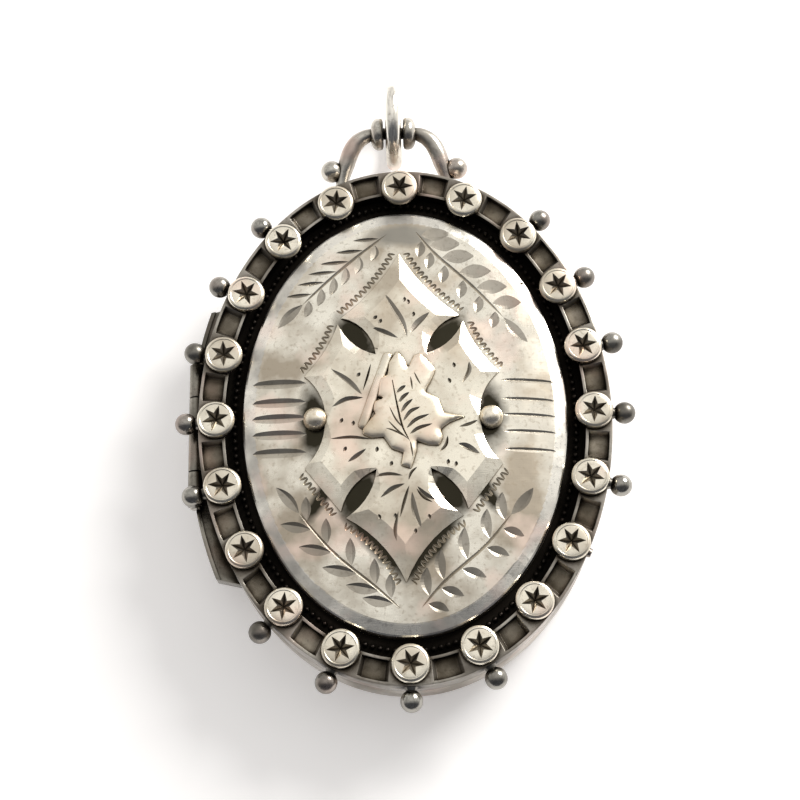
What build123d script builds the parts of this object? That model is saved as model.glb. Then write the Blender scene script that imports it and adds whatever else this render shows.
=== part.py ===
from build123d import *
import os
from math import atan2, cos, degrees, hypot, pi, sin, sqrt

# A large oval hinged locket in silver, lying on its back.
# Millimetres. X runs across the oval with the hinge on the -X side, Y runs up
# to the bail, Z rises from the flat field of the back, which rests at Z = 0.
os.makedirs("parts", exist_ok=True)

# ---------------------------------------------------------------- the two covers
rim_x = 18.75                # half width of both covers, outside
rim_y = 24.4                 # half height of both covers, outside
back_depth = 5.0             # height where the covers meet, above the resting face
front_depth = 1.7            # from where the covers meet up to the sunk channel
cover_gap = 0.1              # running gap between the closed covers
front_wall = 0.7             # thickness of the front cover's upright wall
back_wall = 0.8              # thickness of the back cover's upright wall
sheet = 0.5                  # thickness of the stamped floors
channel_hole_inset = 4.85    # from the rim to the opening under the boss

back_field_inset = 4.2       # from the rim to the flat field that the locket rests on
back_border = 0.5            # height of the back's border above the resting face
back_shoulder = 1.4          # height where the back's wall stands upright
back_shoulder_inset = 1.2    # how far the back's shoulder leans in
back_hollow_floor = 1.1      # floor of the hollow inside the back, round its border

nick_radius = 1.8            # thumb nail's nick in the front's lower edge
nick_depth = 0.45

# ---------------------------------------------------------------- border and studs
border_width = 2.4           # width of the border ring with its seats
seat_rise = 1.3              # height of the raised seats above the channel
panel_depth = 0.5            # how deep the panels between the seats are sunk
panel_lip = 0.26             # thin edge left inside and outside each panel
panel_length = 1.9           # floor of a panel, measured along the rim
panel_flank = 0.35           # slope from a panel's floor up to the seats

stud_count = 20
stud_inset = 1.65            # from the rim's edge to the studs' line, at the sides
stud_inset_y = 1.9           # the same at the ends of the oval
stud_radius = 1.72
stud_stem_radius = 0.95
stud_stem = 0.2              # bare stem under a stud's head
stud_head = 0.65             # thickness of a stud's head
stud_bevel = 0.28            # bevel round the head's upper edge
star_arms = 6
star_reach = 1.28            # from the centre to the tip of an arm
star_waist = 0.42            # from the centre to the corner between two arms
star_depth = 0.5

bead_radius = 1.0
bead_drop = 0.75             # from the seats' top down to the edge beads' centres
bead_neck = 0.2              # bare neck between the wall and a bead
bead_neck_radius = 0.5
bead_studs = (2, 3, 4, 5, 6, 9, 10, 11, 12, 14, 15, 16, 17, 18)
stub_stud = 7                # stud whose bead is broken off, with its neck left
stub_length = 0.35
stub_radius = 0.45

grain_inset = 3.18           # from the rim to the line of small grains
grain_radius = 0.27

# ---------------------------------------------------------------- boss and its leaves
boss_inset = 3.95            # from the rim to the raised boss, at the sides
boss_inset_y = 4.2           # the same at the ends of the oval
boss_upright = 0.7           # height of the boss's upright edge
boss_bevel = 1.2             # width of its bevelled edge
boss_bevel_rise = 0.6        # height of the bevel
crown_rise = 1.0             # how far the crown domes above the shoulder
crown_wall = 0.6

applique_thickness = 0.6
applique_x = -0.2            # the applied plate sits a little left of the middle
drawn_for_x = 13.6           # half width and half height of the crown that the
drawn_for_y = 19.0           # applied leaves are drawn for
leaf_thickness = 0.5
twig_width = 0.9
twig_height = 0.4            # how far the twig stands above the plate
berry_radius = 1.08
berry_places = ((-8.05, -0.4), (7.75, -0.6))

# ---------------------------------------------------------------- inside the covers
lip_height = 0.6             # how far the snap rim rises into the front
lip_width = 0.5
lip_depth = 2.1              # how far the snap rim reaches down into the back
plate = 0.2                  # inner plates behind the pictures
card = 0.25                  # plain card in each frame
glass = 0.4
bezel_lip = 0.3              # part of a bezel that covers the glass
bezel_opening_inset = 3.35   # from the rim to a bezel's opening
glass_inset = 2.55           # from the rim to the edge of the glass
front_bezel_fit = 0.35       # between the snap rim and the front's bezel
bezel_rise = 0.35            # how far the back's bezel stands above its glass
inner_fit = 0.05             # clearance of frames, glass and card
solder_gap = 0.02            # film between curved faces that are soldered together

# ---------------------------------------------------------------- hinge
hinge_offset = 0.55          # from the covers' side out to the hinge axis
hinge_y = -0.4               # middle of the hinge
knuckle_radius = 0.7
middle_knuckle = 7.0         # length of the front's knuckle
end_knuckle = 3.2            # length of each of the back's knuckles
knuckle_gap = 0.1
pin_radius = 0.3
pin_fit = 0.03               # running clearance round the pin
pin_head = 0.25              # length of each riveted head
pin_head_radius = 0.48
groove_gap = 0.1             # clearance round a knuckle that moves past a cover
tab_rise = 0.1               # from where the covers meet up to the knuckle's tab
tab_thickness = 0.5

bearer_width = 1.25          # plate that carries the hinge: its curve at the side,
bearer_overreach = 3.6       # and past the ends of the oval, outside the rim
bearer_drop = 0.6            # from where the covers meet down to its top
bearer_thickness = 1.8
bearer_lip = 0.35            # width of the bearer's raised outer edge
bearer_lip_height = 0.2
bearer_low_end = -12.0       # where its slanted ends cut its outer curve
bearer_high_end = 10.2
bearer_slant = 2.4

# ---------------------------------------------------------------- bail and ring
bail_x = -0.5                # the bail sits a little left of the middle
bar_reach = 5.0              # from the rim out to the bar that the ring hangs on
bar_rise = 1.0               # how far the bar is above where the covers meet
bail_wire = 0.55             # radius of the bail's wire
foot_inset = 1.2             # how far inside the rim's end the legs' line starts
foot_gap = 0.2               # from where the covers meet down to the legs' wire
leg_spread = 5.15            # half the distance between the feet
knee_spread = 4.9            # the bends between the legs and the slopes
knee_reach = 2.9             # from the rim out to those bends
shoulder_spread = 2.7        # the bends between the slopes and the bar
bail_bend = 1.5
collar_radius = 1.55
collar_width = 1.2
collar_gap = 1.9             # room for the ring between the collars
collar_round = 0.35
ball_radius = 1.05
ball_spread = 6.05
ball_reach = 1.6

ring_radius = 4.4            # outside of the jump ring
ring_wire = 0.75
ring_fit = 0.05              # between the ring's inside and the bar
ring_floor = 0.05            # the ring's lowest point, above the resting face

# ---------------------------------------------------------------- worked-out places
part_line = back_depth
channel_floor = part_line + front_depth
seat_top = channel_floor + seat_rise
bead_height = seat_top - bead_drop
boss_x = rim_x - boss_inset
boss_y = rim_y - boss_inset_y
boss_edge = channel_floor + boss_upright
boss_shoulder = boss_edge + boss_bevel_rise
lip_foot = part_line - lip_depth
front_bezel_inset = back_wall + lip_width + front_bezel_fit
hinge_x = -rim_x - hinge_offset
tab_bottom = part_line + tab_rise
bearer_x = rim_x + bearer_width
bearer_y = rim_y + bearer_overreach
bearer_top = part_line - bearer_drop
bearer_foot = bearer_top - bearer_thickness
bar_y = rim_y + bar_reach
bar_z = part_line + bar_rise
foot_y = rim_y - foot_inset
foot_z = part_line - foot_gap - bail_wire
knee_y = rim_y + knee_reach
ball_y = rim_y + ball_reach

front_foot = part_line + cover_gap / 2
back_top = part_line - cover_gap / 2
front_ceiling = channel_floor - sheet
border_x = rim_x - border_width
border_y = rim_y - border_width
knuckle_half = middle_knuckle / 2
hinge_half = knuckle_half + knuckle_gap + end_knuckle
crown_x = boss_x - boss_bevel
crown_y = boss_y - boss_bevel
crown_sphere = (crown_x**2 + crown_rise**2) / (2 * crown_rise)
crown_top = boss_shoulder + crown_rise
leaf_foot = crown_top + applique_thickness
bail_plane = Plane((bail_x, foot_y, foot_z), x_dir=(1, 0, 0), z_dir=(0, foot_z - bar_z, bar_y - foot_y))
slope_length = hypot(bar_y - foot_y, bar_z - foot_z)


def along_slope(y):
    """Distance from the bail's feet, up its sloping plane, to a place given by its Y."""
    return (y - foot_y) * slope_length / (bar_y - foot_y)


def places_round(x_radius, y_radius, count, start=0.0):
    """Evenly spaced places round an oval, clockwise from the top, as (x, y, outward angle)."""
    steps = 7200
    points = [(x_radius * sin(2 * pi * k / steps), y_radius * cos(2 * pi * k / steps)) for k in range(steps + 1)]
    travelled = [0.0]
    for (x0, y0), (x1, y1) in zip(points, points[1:]):
        travelled.append(travelled[-1] + hypot(x1 - x0, y1 - y0))
    places = []
    for index in range(count):
        wanted = (index + start) * travelled[-1] / count
        step = next(k for k, distance in enumerate(travelled) if distance >= wanted)
        x, y = points[step]
        places.append((x, y, degrees(atan2(y / y_radius**2, x / x_radius**2))))
    return places


def reach_to_rim(x, y, angle):
    """Distance from a place inside the rim, along its outward angle, to the rim's wall."""
    ux = cos(angle * pi / 180)
    uy = sin(angle * pi / 180)
    a = (ux / rim_x) ** 2 + (uy / rim_y) ** 2
    b = 2 * (x * ux / rim_x**2 + y * uy / rim_y**2)
    c = (x / rim_x) ** 2 + (y / rim_y) ** 2 - 1
    return (-b + sqrt(b * b - 4 * a * c)) / (2 * a)


def on_crown(x, y):
    """A place on the applied leaves, drawn for one crown, carried over to this one."""
    return (x * crown_x / drawn_for_x, y * crown_y / drawn_for_y)


def crown(lift):
    """A large solid whose top follows the boss's dome, raised by lift."""
    with BuildPart() as ball:
        with Locations((0, 0, crown_top - crown_sphere)):
            Sphere(crown_sphere)
        scale(by=(1, crown_y / crown_x, 1), about=(0, 0, 0))
    return ball.part.translate((0, 0, lift))


stud_places = places_round(rim_x - stud_inset, rim_y - stud_inset_y, stud_count)
panel_places = places_round(rim_x - border_width / 2, rim_y - border_width / 2, stud_count, 0.5)

# ================================================================ the back cover
with BuildPart() as hinge_room:
    # The space that the turning knuckles need, cut from both covers.
    with BuildSketch(Plane.XZ.offset(-hinge_y)):
        with Locations((hinge_x, part_line)):
            Circle(knuckle_radius + groove_gap)
    extrude(amount=hinge_half + knuckle_gap, both=True)

with BuildPart() as back_cover:
    with BuildSketch(Plane.XY.offset(back_shoulder)):
        Ellipse(rim_x, rim_y)
    extrude(amount=back_top - back_shoulder)
    with BuildSketch(Plane.XY.offset(back_border)):
        Ellipse(rim_x - back_shoulder_inset, rim_y - back_shoulder_inset)
    with BuildSketch(Plane.XY.offset(back_shoulder)):
        Ellipse(rim_x, rim_y)
    loft(ruled=True)
    with BuildSketch(Plane.XY):
        Ellipse(rim_x - back_field_inset, rim_y - back_field_inset)
    with BuildSketch(Plane.XY.offset(back_border)):
        Ellipse(rim_x - back_field_inset + back_border, rim_y - back_field_inset + back_border)
    loft(ruled=True)
    with BuildSketch(Plane.XY.offset(back_hollow_floor)):
        Ellipse(rim_x - back_wall - sheet, rim_y - back_wall - sheet)
    with BuildSketch(Plane.XY.offset(back_shoulder + sheet)):
        Ellipse(rim_x - back_wall, rim_y - back_wall)
    loft(ruled=True, mode=Mode.SUBTRACT)
    with BuildSketch(Plane.XY.offset(back_shoulder + sheet)):
        Ellipse(rim_x - back_wall, rim_y - back_wall)
    extrude(amount=part_line - back_shoulder - sheet, mode=Mode.SUBTRACT)
    with BuildSketch(Plane.XY.offset(sheet)):
        Ellipse(rim_x - back_field_inset - back_border, rim_y - back_field_inset - back_border)
    extrude(amount=back_hollow_floor - sheet, mode=Mode.SUBTRACT)
    add(hinge_room.part, mode=Mode.SUBTRACT)
back_cover.part.label = "back_cover"
export_step(back_cover.part, "parts/back_cover.step")

# The upright band soldered inside the back; the front snaps down over its lip.
with BuildPart() as snap_rim:
    with BuildSketch(Plane.XY.offset(lip_foot)):
        Ellipse(rim_x - back_wall - solder_gap, rim_y - back_wall - solder_gap)
        Ellipse(rim_x - back_wall - lip_width, rim_y - back_wall - lip_width, mode=Mode.SUBTRACT)
    extrude(amount=part_line + lip_height - lip_foot)
snap_rim.part.label = "snap_rim"
export_step(snap_rim.part, "parts/snap_rim.step")

back_frame_inset = back_wall + lip_width
back_plate_foot = lip_foot + plate
with BuildPart() as back_inner_plate:
    with BuildSketch(Plane.XY.offset(back_plate_foot)):
        Ellipse(rim_x - back_frame_inset - solder_gap, rim_y - back_frame_inset - solder_gap)
    extrude(amount=plate)
back_inner_plate.part.label = "back_inner_plate"
export_step(back_inner_plate.part, "parts/back_inner_plate.step")

back_card_foot = back_plate_foot + plate
with BuildPart() as back_card:
    with BuildSketch(Plane.XY.offset(back_card_foot)):
        Ellipse(rim_x - glass_inset - inner_fit, rim_y - glass_inset - inner_fit)
    extrude(amount=card)
back_card.part.label = "back_card"
export_step(back_card.part, "parts/back_card.step")

back_glass_foot = back_card_foot + card
with BuildPart() as back_glass:
    with BuildSketch(Plane.XY.offset(back_glass_foot)):
        Ellipse(rim_x - glass_inset - inner_fit, rim_y - glass_inset - inner_fit)
    extrude(amount=glass)
back_glass.part.label = "back_glass"
export_step(back_glass.part, "parts/back_glass.step")

back_bezel_step = back_glass_foot + glass
with BuildPart() as back_bezel:
    with BuildSketch(Plane.XY.offset(back_card_foot)):
        Ellipse(rim_x - back_frame_inset - inner_fit, rim_y - back_frame_inset - inner_fit)
        Ellipse(rim_x - glass_inset, rim_y - glass_inset, mode=Mode.SUBTRACT)
    extrude(amount=back_bezel_step - back_card_foot)
    with BuildSketch(Plane.XY.offset(back_bezel_step)):
        Ellipse(rim_x - back_frame_inset - inner_fit, rim_y - back_frame_inset - inner_fit)
        Ellipse(rim_x - bezel_opening_inset, rim_y - bezel_opening_inset, mode=Mode.SUBTRACT)
    extrude(amount=bezel_rise)
back_bezel.part.label = "back_bezel"
export_step(back_bezel.part, "parts/back_bezel.step")

# ================================================================ the front cover
with BuildPart() as front_cover:
    with BuildSketch(Plane.XY.offset(front_foot)):
        Ellipse(rim_x, rim_y)
    extrude(amount=channel_floor - front_foot)
    with BuildSketch(Plane.XY.offset(front_foot)):
        Ellipse(rim_x - front_wall, rim_y - front_wall)
    extrude(amount=front_ceiling - front_foot, mode=Mode.SUBTRACT)
    with BuildSketch(Plane.XY.offset(front_ceiling)):
        Ellipse(rim_x - channel_hole_inset, rim_y - channel_hole_inset)
    extrude(amount=sheet, mode=Mode.SUBTRACT)
    with Locations((rim_x + nick_radius - nick_depth, 0, front_foot)):
        Sphere(nick_radius, mode=Mode.SUBTRACT)
    add(hinge_room.part, mode=Mode.SUBTRACT)
front_cover.part.label = "front_cover"
export_step(front_cover.part, "parts/front_cover.step")

with BuildPart() as panel_cutter:
    # One sunk panel: X points out of the oval, Y runs along the rim.
    with BuildSketch(Plane.YZ):
        with BuildLine():
            Polyline(
                (-panel_length / 2 - panel_flank, 0),
                (-panel_length / 2, -panel_depth),
                (panel_length / 2, -panel_depth),
                (panel_length / 2 + panel_flank, 0),
                close=True,
            )
        make_face()
    extrude(amount=border_width / 2 - panel_lip, both=True)

# The border ring: raised seats for the studs, with a sunk panel between each two.
with BuildPart() as seat_border:
    with BuildSketch(Plane.XY.offset(channel_floor)):
        Ellipse(rim_x, rim_y)
        Ellipse(border_x, border_y, mode=Mode.SUBTRACT)
    extrude(amount=seat_top - channel_floor)
    with Locations(*[Location((x, y, seat_top), (0, 0, angle)) for x, y, angle in panel_places]):
        add(panel_cutter.part, mode=Mode.SUBTRACT)
seat_border.part.label = "seat_border"
export_step(seat_border.part, "parts/seat_border.step")

with BuildPart() as channel_beading:
    # The line of small grains is one drawn wire, soldered down in the channel.
    with BuildLine():
        grain_line = EllipticalCenterArc((0, 0), rim_x - grain_inset, rim_y - grain_inset, arc_size=360)
    with BuildSketch(Plane(grain_line @ 0, z_dir=grain_line % 0)):
        Circle(grain_radius)
    sweep()
channel_beading.part = channel_beading.part.translate((0, 0, channel_floor + grain_radius))
channel_beading.part.label = "channel_beading"
export_step(channel_beading.part, "parts/channel_beading.step")

# ---------------------------------------------------------------- studs and edge beads
stud_foot = seat_top
head_foot = stud_foot + stud_stem
stud_top = head_foot + stud_head
with BuildPart() as star_stud:
    with BuildSketch(Plane.XY.offset(stud_foot)):
        Circle(stud_stem_radius)
    extrude(amount=stud_stem)
    with BuildSketch(Plane.XY.offset(head_foot)):
        Circle(stud_radius)
    extrude(amount=stud_head)
    chamfer(star_stud.edges().group_by(Axis.Z)[-1], stud_bevel)
    with BuildSketch(Plane.XY.offset(stud_top)) as star:
        star_points = []
        for arm in range(star_arms):
            turn = 2 * pi * arm / star_arms
            half_turn = turn + pi / star_arms
            star_points.append((star_reach * cos(turn), star_reach * sin(turn)))
            star_points.append((star_waist * cos(half_turn), star_waist * sin(half_turn)))
        Polygon(*star_points, align=None)
    loft(sections=[star.face(), Vertex(0, 0, stud_top - star_depth)], mode=Mode.SUBTRACT)

with BuildPart() as star_studs:
    with Locations(*[Location((x, y, 0), (0, 0, angle)) for x, y, angle in stud_places]):
        add(star_stud.part)
star_studs.part.label = "star_studs"
export_step(star_studs.part, "parts/star_studs.step")

with BuildPart() as edge_bead:
    # X points out of the wall, which the neck's foot stands on.
    with BuildSketch(Plane.YZ):
        Circle(bead_neck_radius)
    extrude(amount=bead_neck + bead_radius)
    with Locations((bead_neck + bead_radius, 0, 0)):
        Sphere(bead_radius)

bead_spots = []
for index in bead_studs:
    x, y, angle = stud_places[index]
    out = reach_to_rim(x, y, angle)
    spot = (x + out * cos(angle * pi / 180), y + out * sin(angle * pi / 180), bead_height)
    bead_spots.append(Location(spot, (0, 0, angle)))
with BuildPart() as edge_beads:
    with Locations(*bead_spots):
        add(edge_bead.part)
edge_beads.part.label = "edge_beads"
export_step(edge_beads.part, "parts/edge_beads.step")

stub_x, stub_y, stub_angle = stud_places[stub_stud]
stub_out = reach_to_rim(stub_x, stub_y, stub_angle)
stub_plane = Plane(Location((stub_x, stub_y, bead_height), (0, 0, stub_angle)) * Plane.YZ.location)
with BuildPart() as bead_stub:
    with BuildSketch(stub_plane.offset(stub_out)):
        Circle(stub_radius)
    extrude(amount=stub_length, taper=15)
bead_stub.part.label = "bead_stub"
export_step(bead_stub.part, "parts/bead_stub.step")

# ---------------------------------------------------------------- the domed boss
with BuildPart() as crown_cap:
    with BuildSketch(Plane.XY.offset(boss_shoulder)):
        Ellipse(crown_x, crown_y)
    extrude(amount=2 * crown_rise)
    add(crown(0), mode=Mode.INTERSECT)

with BuildPart() as crown_hollow:
    with BuildSketch(Plane.XY.offset(channel_floor)):
        Ellipse(crown_x - crown_wall, crown_y - crown_wall)
    extrude(amount=crown_top - channel_floor)
    add(crown(-crown_wall), mode=Mode.INTERSECT)

with BuildPart() as boss:
    with BuildSketch(Plane.XY.offset(channel_floor)):
        Ellipse(boss_x, boss_y)
    extrude(amount=boss_edge - channel_floor)
    with BuildSketch(Plane.XY.offset(boss_edge)):
        Ellipse(boss_x, boss_y)
    with BuildSketch(Plane.XY.offset(boss_shoulder)):
        Ellipse(crown_x, crown_y)
    loft(ruled=True)
    add(crown_cap.part)
    add(crown_hollow.part, mode=Mode.SUBTRACT)
boss.part.label = "boss"
export_step(boss.part, "parts/boss.step")

# ---------------------------------------------------------------- applied leaves
applique_arcs = (
    ((0, 15.75), (2.4, 12.2), (5.45, 9.35)),
    ((5.45, 9.35), (3.1, 7.75), (2.3, 5.5)),
    ((2.3, 5.5), (4.35, 6.7), (5.75, 8.75)),
    ((5.75, 8.75), (7.0, 6.1), (8.85, 3.8)),
    ((8.85, 3.8), (7.4, 1.9), (6.95, -0.5)),
    ((6.95, -0.5), (7.4, -2.8), (8.85, -4.9)),
    ((8.85, -4.9), (7.05, -7.2), (5.65, -8.95)),
    ((5.65, -8.95), (4.4, -6.6), (2.4, -5.3)),
    ((2.4, -5.3), (3.2, -7.6), (5.2, -9.55)),
    ((5.2, -9.55), (2.35, -11.75), (0, -15.4)),
)
with BuildPart() as applique_blank:
    # Six leaves in one plate: the right half is drawn and mirrored.
    with BuildSketch(Plane.XY.offset(boss_shoulder)):
        with BuildLine():
            for arc in applique_arcs:
                ThreePointArc(*[on_crown(x, y) for x, y in arc])
            Line(on_crown(*applique_arcs[-1][-1]), on_crown(*applique_arcs[0][0]))
        make_face()
        mirror(about=Plane.YZ)
    extrude(amount=crown_rise + 2 * applique_thickness)

with BuildPart() as berries:
    for place in berry_places:
        x, y = on_crown(*place)
        height = crown_top - crown_rise * ((x / crown_x) ** 2 + (y / crown_y) ** 2)
        with Locations((x, y, height + berry_radius / 3)):
            Sphere(berry_radius)
    add(crown(0), mode=Mode.SUBTRACT)
berries.part.label = "berries"
export_step(berries.part, "parts/berries.step")

with BuildPart() as applique_plate:
    add(applique_blank.part.translate((applique_x, 0, 0)))
    add(crown(applique_thickness), mode=Mode.INTERSECT)
    add(crown(0), mode=Mode.SUBTRACT)
    add(berries.part, mode=Mode.SUBTRACT)
applique_plate.part.label = "applique_plate"
export_step(applique_plate.part, "parts/applique_plate.step")

ivy_outline = (
    (-1.45, 3.45), (-1.3, 4.6), (-0.55, 5.65), (0.05, 4.9), (0.4, 4.1),
    (1.0, 5.2), (1.6, 5.4), (2.85, 3.85), (2.35, 2.6), (1.9, 1.7),
    (3.05, 1.1), (3.5, -0.25), (5.4, -0.65), (4.05, -1.2), (3.2, -1.85),
    (3.35, -2.6), (3.0, -3.3), (2.0, -3.25), (1.05, -2.9), (1.0, -3.7),
    (0.45, -5.35), (-0.4, -5.05), (-0.2, -3.95), (-1.2, -3.55), (-1.9, -2.45),
    (-3.0, -2.5), (-3.75, -2.1), (-3.7, -1.5), (-2.65, -0.25), (-2.8, 0.1),
    (-2.7, 0.85), (-2.0, 1.2), (-2.35, 1.4), (-2.15, 3.0),
)
with BuildPart() as ivy_leaf:
    with BuildSketch(Plane.XY.offset(boss_shoulder)):
        Polygon(*[on_crown(x, y) for x, y in ivy_outline], align=None)
    extrude(amount=crown_rise + 2 * applique_thickness)
    add(crown(applique_thickness + leaf_thickness), mode=Mode.INTERSECT)
    add(crown(applique_thickness), mode=Mode.SUBTRACT)
ivy_leaf.part.label = "ivy_leaf"
export_step(ivy_leaf.part, "parts/ivy_leaf.step")

twig_start = Vector(*on_crown(-1.3, 5.6))
twig_end = Vector(*on_crown(-3.9, -1.6))
twig_plane = Plane((twig_start + twig_end) / 2, x_dir=twig_end - twig_start)
with BuildPart() as twig:
    # A half-round rod that runs under the ivy leaf.
    with BuildSketch(twig_plane.offset(boss_shoulder)):
        SlotOverall((twig_end - twig_start).length, twig_width)
    extrude(amount=crown_rise + 2 * applique_thickness)
    add(crown(applique_thickness + twig_height), mode=Mode.INTERSECT)
    add(crown(applique_thickness), mode=Mode.SUBTRACT)
    add(ivy_leaf.part, mode=Mode.SUBTRACT)
twig.part.label = "twig"
export_step(twig.part, "parts/twig.step")

# ---------------------------------------------------------------- inside the front
front_plate_foot = front_ceiling - plate
with BuildPart() as front_inner_plate:
    with BuildSketch(Plane.XY.offset(front_plate_foot)):
        Ellipse(rim_x - front_bezel_inset, rim_y - front_bezel_inset)
    extrude(amount=plate)
front_inner_plate.part.label = "front_inner_plate"
export_step(front_inner_plate.part, "parts/front_inner_plate.step")

front_card_foot = front_plate_foot - card
with BuildPart() as front_card:
    with BuildSketch(Plane.XY.offset(front_card_foot)):
        Ellipse(rim_x - glass_inset - inner_fit, rim_y - glass_inset - inner_fit)
    extrude(amount=card)
front_card.part.label = "front_card"
export_step(front_card.part, "parts/front_card.step")

front_glass_foot = front_card_foot - glass
with BuildPart() as front_glass:
    with BuildSketch(Plane.XY.offset(front_glass_foot)):
        Ellipse(rim_x - glass_inset - inner_fit, rim_y - glass_inset - inner_fit)
    extrude(amount=glass)
front_glass.part.label = "front_glass"
export_step(front_glass.part, "parts/front_glass.step")

with BuildPart() as front_bezel:
    with BuildSketch(Plane.XY.offset(front_glass_foot)):
        Ellipse(rim_x - front_bezel_inset, rim_y - front_bezel_inset)
        Ellipse(rim_x - glass_inset, rim_y - glass_inset, mode=Mode.SUBTRACT)
    extrude(amount=front_plate_foot - front_glass_foot)
    with BuildSketch(Plane.XY.offset(front_glass_foot - bezel_lip)):
        Ellipse(rim_x - front_bezel_inset, rim_y - front_bezel_inset)
        Ellipse(rim_x - bezel_opening_inset, rim_y - bezel_opening_inset, mode=Mode.SUBTRACT)
    extrude(amount=bezel_lip)
front_bezel.part.label = "front_bezel"
export_step(front_bezel.part, "parts/front_bezel.step")

# ================================================================ the hinge
with BuildPart() as pin_room:
    with BuildSketch(Plane.XZ.offset(-hinge_y)):
        with Locations((hinge_x, part_line)):
            Circle(pin_radius + pin_fit)
    extrude(amount=2 * hinge_half, both=True)

with BuildPart() as front_knuckle:
    with BuildSketch(Plane.XZ.offset(-hinge_y)):
        with Locations((hinge_x, part_line)):
            Circle(knuckle_radius)
    extrude(amount=knuckle_half, both=True)
    # The tab that carries the knuckle on the front cover's wall.
    with BuildSketch(Plane.XY.offset(tab_bottom)):
        with Locations((hinge_x / 2, hinge_y)):
            Rectangle(-hinge_x, middle_knuckle)
        Ellipse(rim_x + solder_gap, rim_y + solder_gap, mode=Mode.SUBTRACT)
    extrude(amount=tab_thickness)
    add(pin_room.part, mode=Mode.SUBTRACT)
front_knuckle.part.label = "front_knuckle"
export_step(front_knuckle.part, "parts/front_knuckle.step")

with BuildPart() as back_knuckles:
    for side in (-1, 1):
        middle = hinge_y + side * (hinge_half - end_knuckle / 2)
        with BuildSketch(Plane.XZ.offset(-middle)):
            with Locations((hinge_x, part_line)):
                Circle(knuckle_radius)
                Circle(pin_radius + pin_fit, mode=Mode.SUBTRACT)
        extrude(amount=end_knuckle / 2, both=True)
back_knuckles.part.label = "back_knuckles"
export_step(back_knuckles.part, "parts/back_knuckles.step")

with BuildPart() as hinge_pin:
    with BuildSketch(Plane.XZ.offset(-hinge_y)):
        with Locations((hinge_x, part_line)):
            Circle(pin_radius)
    extrude(amount=hinge_half, both=True)
    for side in (-1, 1):
        with BuildSketch(Plane.XZ.offset(-hinge_y - side * (hinge_half + pin_head / 2))):
            with Locations((hinge_x, part_line)):
                Circle(pin_head_radius)
        extrude(amount=pin_head / 2, both=True)
hinge_pin.part.label = "hinge_pin"
export_step(hinge_pin.part, "parts/hinge_pin.step")

# The crescent-shaped plate soldered outside the back's wall to carry the hinge. The
# corners of the band that it's cut from lie well outside and inside the oval.
bearer_outside = hinge_x - 5.7
bearer_inside = hinge_x + 4.3
bearer_corners = (
    (bearer_outside, bearer_low_end),
    (bearer_inside, bearer_low_end - bearer_slant),
    (bearer_inside, bearer_high_end + bearer_slant),
    (bearer_outside, bearer_high_end),
)
with BuildPart() as hinge_bearer:
    with BuildSketch(Plane.XY.offset(bearer_foot)):
        Ellipse(bearer_x, bearer_y)
        Ellipse(rim_x + solder_gap, rim_y + solder_gap, mode=Mode.SUBTRACT)
        Polygon(*bearer_corners, align=None, mode=Mode.INTERSECT)
    extrude(amount=bearer_top - bearer_foot)
    with BuildSketch(Plane.XY.offset(bearer_top)):
        Ellipse(bearer_x, bearer_y)
        Ellipse(bearer_x - bearer_lip, bearer_y - bearer_lip, mode=Mode.SUBTRACT)
        Polygon(*bearer_corners, align=None, mode=Mode.INTERSECT)
    extrude(amount=bearer_lip_height)
    with BuildSketch(Plane.XZ.offset(-hinge_y)):
        with Locations((hinge_x, part_line)):
            Circle(knuckle_radius)
    extrude(amount=hinge_half + pin_head + knuckle_gap, both=True, mode=Mode.SUBTRACT)
    with BuildSketch(Plane.XZ.offset(-hinge_y)):
        with Locations((hinge_x, part_line)):
            Circle(knuckle_radius + groove_gap)
    extrude(amount=knuckle_half + knuckle_gap, both=True, mode=Mode.SUBTRACT)
hinge_bearer.part.label = "hinge_bearer"
export_step(hinge_bearer.part, "parts/hinge_bearer.step")

# ================================================================ the bail
with BuildPart() as bail_arch:
    with BuildLine(bail_plane):
        bail_line = FilletPolyline(
            (-leg_spread, -0.5),
            (-knee_spread, along_slope(knee_y)),
            (-shoulder_spread, slope_length),
            (shoulder_spread, slope_length),
            (knee_spread, along_slope(knee_y)),
            (leg_spread, -0.5),
            radius=bail_bend,
        )
    with BuildSketch(Plane(bail_line @ 0, z_dir=bail_line % 0)):
        Circle(bail_wire)
    sweep()
    with BuildSketch(Plane.XY):
        Ellipse(rim_x, rim_y)
    extrude(amount=bar_z, mode=Mode.SUBTRACT)
bail_arch.part.label = "bail_arch"
export_step(bail_arch.part, "parts/bail_arch.step")

with BuildPart() as bail_collars:
    for side in (-1, 1):
        middle = bail_x + side * (collar_gap + collar_width) / 2
        with BuildSketch(Plane.YZ.offset(middle)):
            with Locations((bar_y, bar_z)):
                Circle(collar_radius)
        extrude(amount=collar_width / 2, both=True)
    fillet(bail_collars.edges().filter_by(GeomType.CIRCLE), collar_round)
    add(bail_arch.part, mode=Mode.SUBTRACT)
bail_collars.part.label = "bail_collars"
export_step(bail_collars.part, "parts/bail_collars.step")

ball_z = foot_z + (ball_y - foot_y) * (bar_z - foot_z) / (bar_y - foot_y)
with BuildPart() as bail_foot_balls:
    with Locations((bail_x + ball_spread, ball_y, ball_z)):
        Sphere(ball_radius)
    add(bail_arch.part, mode=Mode.SUBTRACT)
    mirror(about=Plane.YZ.offset(bail_x))
bail_foot_balls.part.label = "bail_foot_balls"
export_step(bail_foot_balls.part, "parts/bail_foot_balls.step")

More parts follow.
